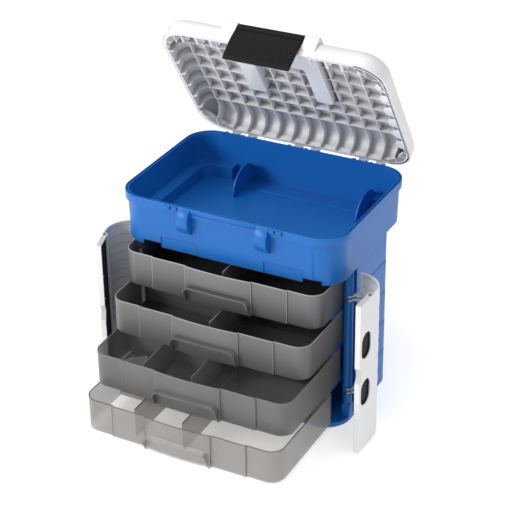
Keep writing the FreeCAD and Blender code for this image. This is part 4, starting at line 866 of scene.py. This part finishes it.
def notch_lining(name):
    """The curved wall inside the finger notch."""
    work = bmesh.new()
    front, back = DOOR_FRONT + FINGER_FRONT, DOOR_BOX_BACK + FINGER_BACK
    inner, outer = (arc(DOOR_EDGE - FINGER_SET, FINGER_LEVEL, FINGER_RADIUS + half, -FINGER_TURN,
                        2 * FINGER_TURN, FINGER_STEPS) for half in (-FINGER_HALF, FINGER_HALF))
    add_skin(work, [[on_door(name, x, y, z) for (x, z), y in (
        (near, front), (near, back), (far, back), (far, front))]
        for near, far in zip(inner, outer)])
    finish_piece("finger_notch_" + name, work, name + "_door", "grey_liner")


# the cap and the hole in it: outlines in the door's frame, and heights from the door's top
CAP_OUTLINE = ((DOOR_EDGE + 2, DOOR_FRONT + 1.6), (DOOR_BOX_END + 3.5, DOOR_FRONT + 1.6),
               (DOOR_BOX_END + 3.5, DOOR_FRONT + 4), (DOOR_BOX_END - 1, DOOR_BOX_BACK + 0.6),
               (DOOR_EDGE + 2, DOOR_BOX_BACK + 0.6))
HOLE_OUTLINE = ((DOOR_BOX_END - 7, DOOR_FRONT + 3), (DOOR_BOX_END + 1.5, DOOR_FRONT + 3),
                (DOOR_BOX_END - 4, DOOR_BOX_BACK - 0.5))
CAP_LEVELS, HOLE_LEVELS = (-0.3, 0.4), (0, 0.5)


def door_cap(name):
    """The grey cap on the boxed edge, and the dark three-cornered hole at its inner end."""
    for piece, slot, outline, levels in (
            ("door_cap_", "grey_liner", CAP_OUTLINE, CAP_LEVELS),
            ("door_cap_hole_", "black_insert", HOLE_OUTLINE, HOLE_LEVELS)):
        work = bmesh.new()
        add_skin(work, [[on_door(name, x, y, DOOR_TOP + level) for x, y in outline]
                        for level in levels])
        finish_piece(piece + name, work, name + "_door", slot)


# ---------------------------------------------------------------- the drawers

DRAWER_HALF, DRAWER_FRONT, DRAWER_BACK = 178, -119, 77.4
DRAWER_CORNER, DRAWER_REAR_CORNER, DRAWER_STEP, DRAWER_BOW = 24, 10, 2, 3
DRAWER_CENTRE, DRAWER_SECOND = 60, 122
PULLED_OUT = {1: 41, 2: 88, 3: 150, 4: 184}


def drawer_path(inset):
    """The plan of a drawer's wall, a little in from its outer face, from its left front."""
    half, front, back = DRAWER_HALF - inset, DRAWER_FRONT + inset, DRAWER_BACK - inset
    corner, rear = DRAWER_CORNER - inset, DRAWER_REAR_CORNER - inset
    centre, second, proud = DRAWER_CENTRE - inset, DRAWER_SECOND - inset, front - DRAWER_STEP
    points = arc(corner - half, front + corner, corner, 180, 90, DRAWER_CORNER_STEPS)
    points += [(-second, front), (-second, proud), (-centre, proud)]
    for step in range(-4, 5):
        x = centre * step / 4
        points.append((x, proud - DRAWER_STEP - DRAWER_BOW * (1 - (x / centre) ** 2)))
    points += [(centre, proud), (second, proud), (second, front)]
    points += arc(half - corner, front + corner, corner, -90, 90, DRAWER_CORNER_STEPS)
    points += arc(half - rear, back - rear, rear, 0, 90, DRAWER_CORNER_STEPS)
    points += arc(rear - half, back - rear, rear, 90, 90, DRAWER_CORNER_STEPS)
    return points


# the pull's legs: how far ahead of the front they begin, the height over which they are drawn
# in, and how far at the bottom
PULL_AHEAD, PULL_HEIGHT, PULL_DRAWN = 10 * MM, 16 * MM, 9.2 * MM


def tapered_tray(number):
    """The tray with the ends of its pull drawn in towards the bottom, in place of the CAD node."""
    node = nodes["drawer_tray_%d" % number]
    mesh = node.data.copy()
    mesh.name = "drawer_pull_tray_%d" % number
    front = (DRAWER_FRONT - PULLED_OUT[number]) * MM
    bottom = drawer_bottom(number) * MM
    for vertex in mesh.vertices:
        if vertex.co.y < front - PULL_AHEAD and vertex.co.z < bottom + PULL_HEIGHT:
            vertex.co.y += PULL_DRAWN * (1 - (vertex.co.z - bottom) / PULL_HEIGHT)
    piece = bpy.data.objects.new("drawer_pull_tray_%d" % number, mesh)
    bpy.context.scene.collection.objects.link(piece)
    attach(piece, "drawer_%d" % number)
    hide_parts("drawer_tray_%d" % number)
    soften(piece)


# each drawer's partitions as shares of the width and the depth inside it: x1, y1, x2, y2
PARTITIONS = {
    1: [(0.5, 0.06, 0.5, 1)],
    2: [(0, 0.55, 0.5, 0.55), (0.5, 0.06, 0.5, 1), (0.25, 0.55, 0.25, 1)],
    3: [(0, 0.55, 0.5, 0.55), (0.5, 0.06, 0.5, 1), (0.25, 0.06, 0.25, 1)],
    4: [(0, 0.55, 0.5, 0.55), (0.5, 0.06, 0.5, 1), (0.25, 0.06, 0.25, 0.55)],
}
DRAWER_WALL, DIVIDER_DROP = 2, 4
# the outline of a divider's edge: across it, and in height
DIVIDER_EDGE = ((-0.95, -1.2), (0.95, -1.2), (0.95, 0.05), (0.5, 0.4), (-0.5, 0.4), (-0.95, 0.05))


def divider_edges(number):
    """The dividers' top edges, rounded over and seen end on, in the rims' colour, lightened by a
    painted highlight on the upper drawers.
    """
    work = bmesh.new()
    half, front = DRAWER_HALF - DRAWER_WALL, DRAWER_FRONT + DRAWER_WALL
    depth = DRAWER_BACK - DRAWER_WALL - front
    top = drawer_bottom(number) + DRAWER_HEIGHT - DIVIDER_DROP
    for x1, y1, x2, y2 in PARTITIONS[number]:
        near, far = (Vector((x * 2 * half - half, front + depth * y - PULLED_OUT[number], top))
                     for x, y in ((x1, y1), (x2, y2)))
        out = aside((far - near).normalized())
        add_skin(work, [[here + out * a + UP * b for a, b in DIVIDER_EDGE]
                        for here in (near, far)])
    finish_piece("divider_edges_%d" % number, work, "drawer_%d" % number, "smoke_plastic",
                 look="smoke_rim_%d" % number)


# the raised lines: how far above the drawer's bottom and below its top, and their outline from
# a step's corner
SEAM_LOW, SEAM_DROP = 2, 0.5
SEAM_OUTLINE = ((0.15, 1.2), (0.15, -0.15), (-0.75, -0.15), (-0.75, 1.2))


def drawer_seams(number):
    """The edges of the front's steps, where the plastic is thicker and reads as a line, in the
    rims' colour, lightened by a painted highlight on the upper drawers.
    """
    work = bmesh.new()
    low = drawer_bottom(number)
    front = DRAWER_FRONT - PULLED_OUT[number]
    for side in (-1, 1):
        for x, y in ((DRAWER_SECOND, front - DRAWER_STEP),
                     (DRAWER_CENTRE, front - 2 * DRAWER_STEP)):
            add_skin(work, [[Vector((side * (x + a), y + b, z)) for a, b in SEAM_OUTLINE]
                            for z in (low + SEAM_LOW, low + DRAWER_HEIGHT - SEAM_DROP)])
    finish_piece("drawer_seams_%d" % number, work, "drawer_%d" % number, "smoke_plastic",
                 look="smoke_rim_%d" % number)


DRAWER_RIM_INSET, DRAWER_RIM_HALF, DRAWER_RIM_HEIGHT = 1, 0.98, 1.3


def drawer_rim(number):
    """The polished rounded rim of a drawer, a little denser to the eye than its walls, lightened
    by a painted highlight on the upper drawers.
    """
    work = bmesh.new()
    top = drawer_bottom(number) + DRAWER_HEIGHT
    path = [Vector((x, y - PULLED_OUT[number], top)) for x, y in drawer_path(DRAWER_RIM_INSET)]
    add_bead(work, path, DRAWER_RIM_HALF, DRAWER_RIM_HEIGHT)
    finish_piece("drawer_rim_%d" % number, work, "drawer_%d" % number, "smoke_plastic",
                 look="smoke_rim_%d" % number)


# ---------------------------------------------------------------- the whole scene

make_camera()
make_stage()
materials = make_materials()
dress_nodes()
for cad_piece in nodes.values():
    soften(cad_piece)
rim_webs()
rim_edge()
catch_ledge()
hinge_stubs()
panel_lines()
lid_pegs()
lid_scallops()
lid_corner_pocket_shade()
lid_seal_shadow_lip()
clasp_ridges()
for door in DOORS:
    door_bands(door)
    liner_lines(door)
    door_cap(door)
    notch_lining(door)
for drawer in PULLED_OUT:
    tapered_tray(drawer)
    drawer_rim(drawer)
    drawer_seams(drawer)
    divider_edges(drawer)
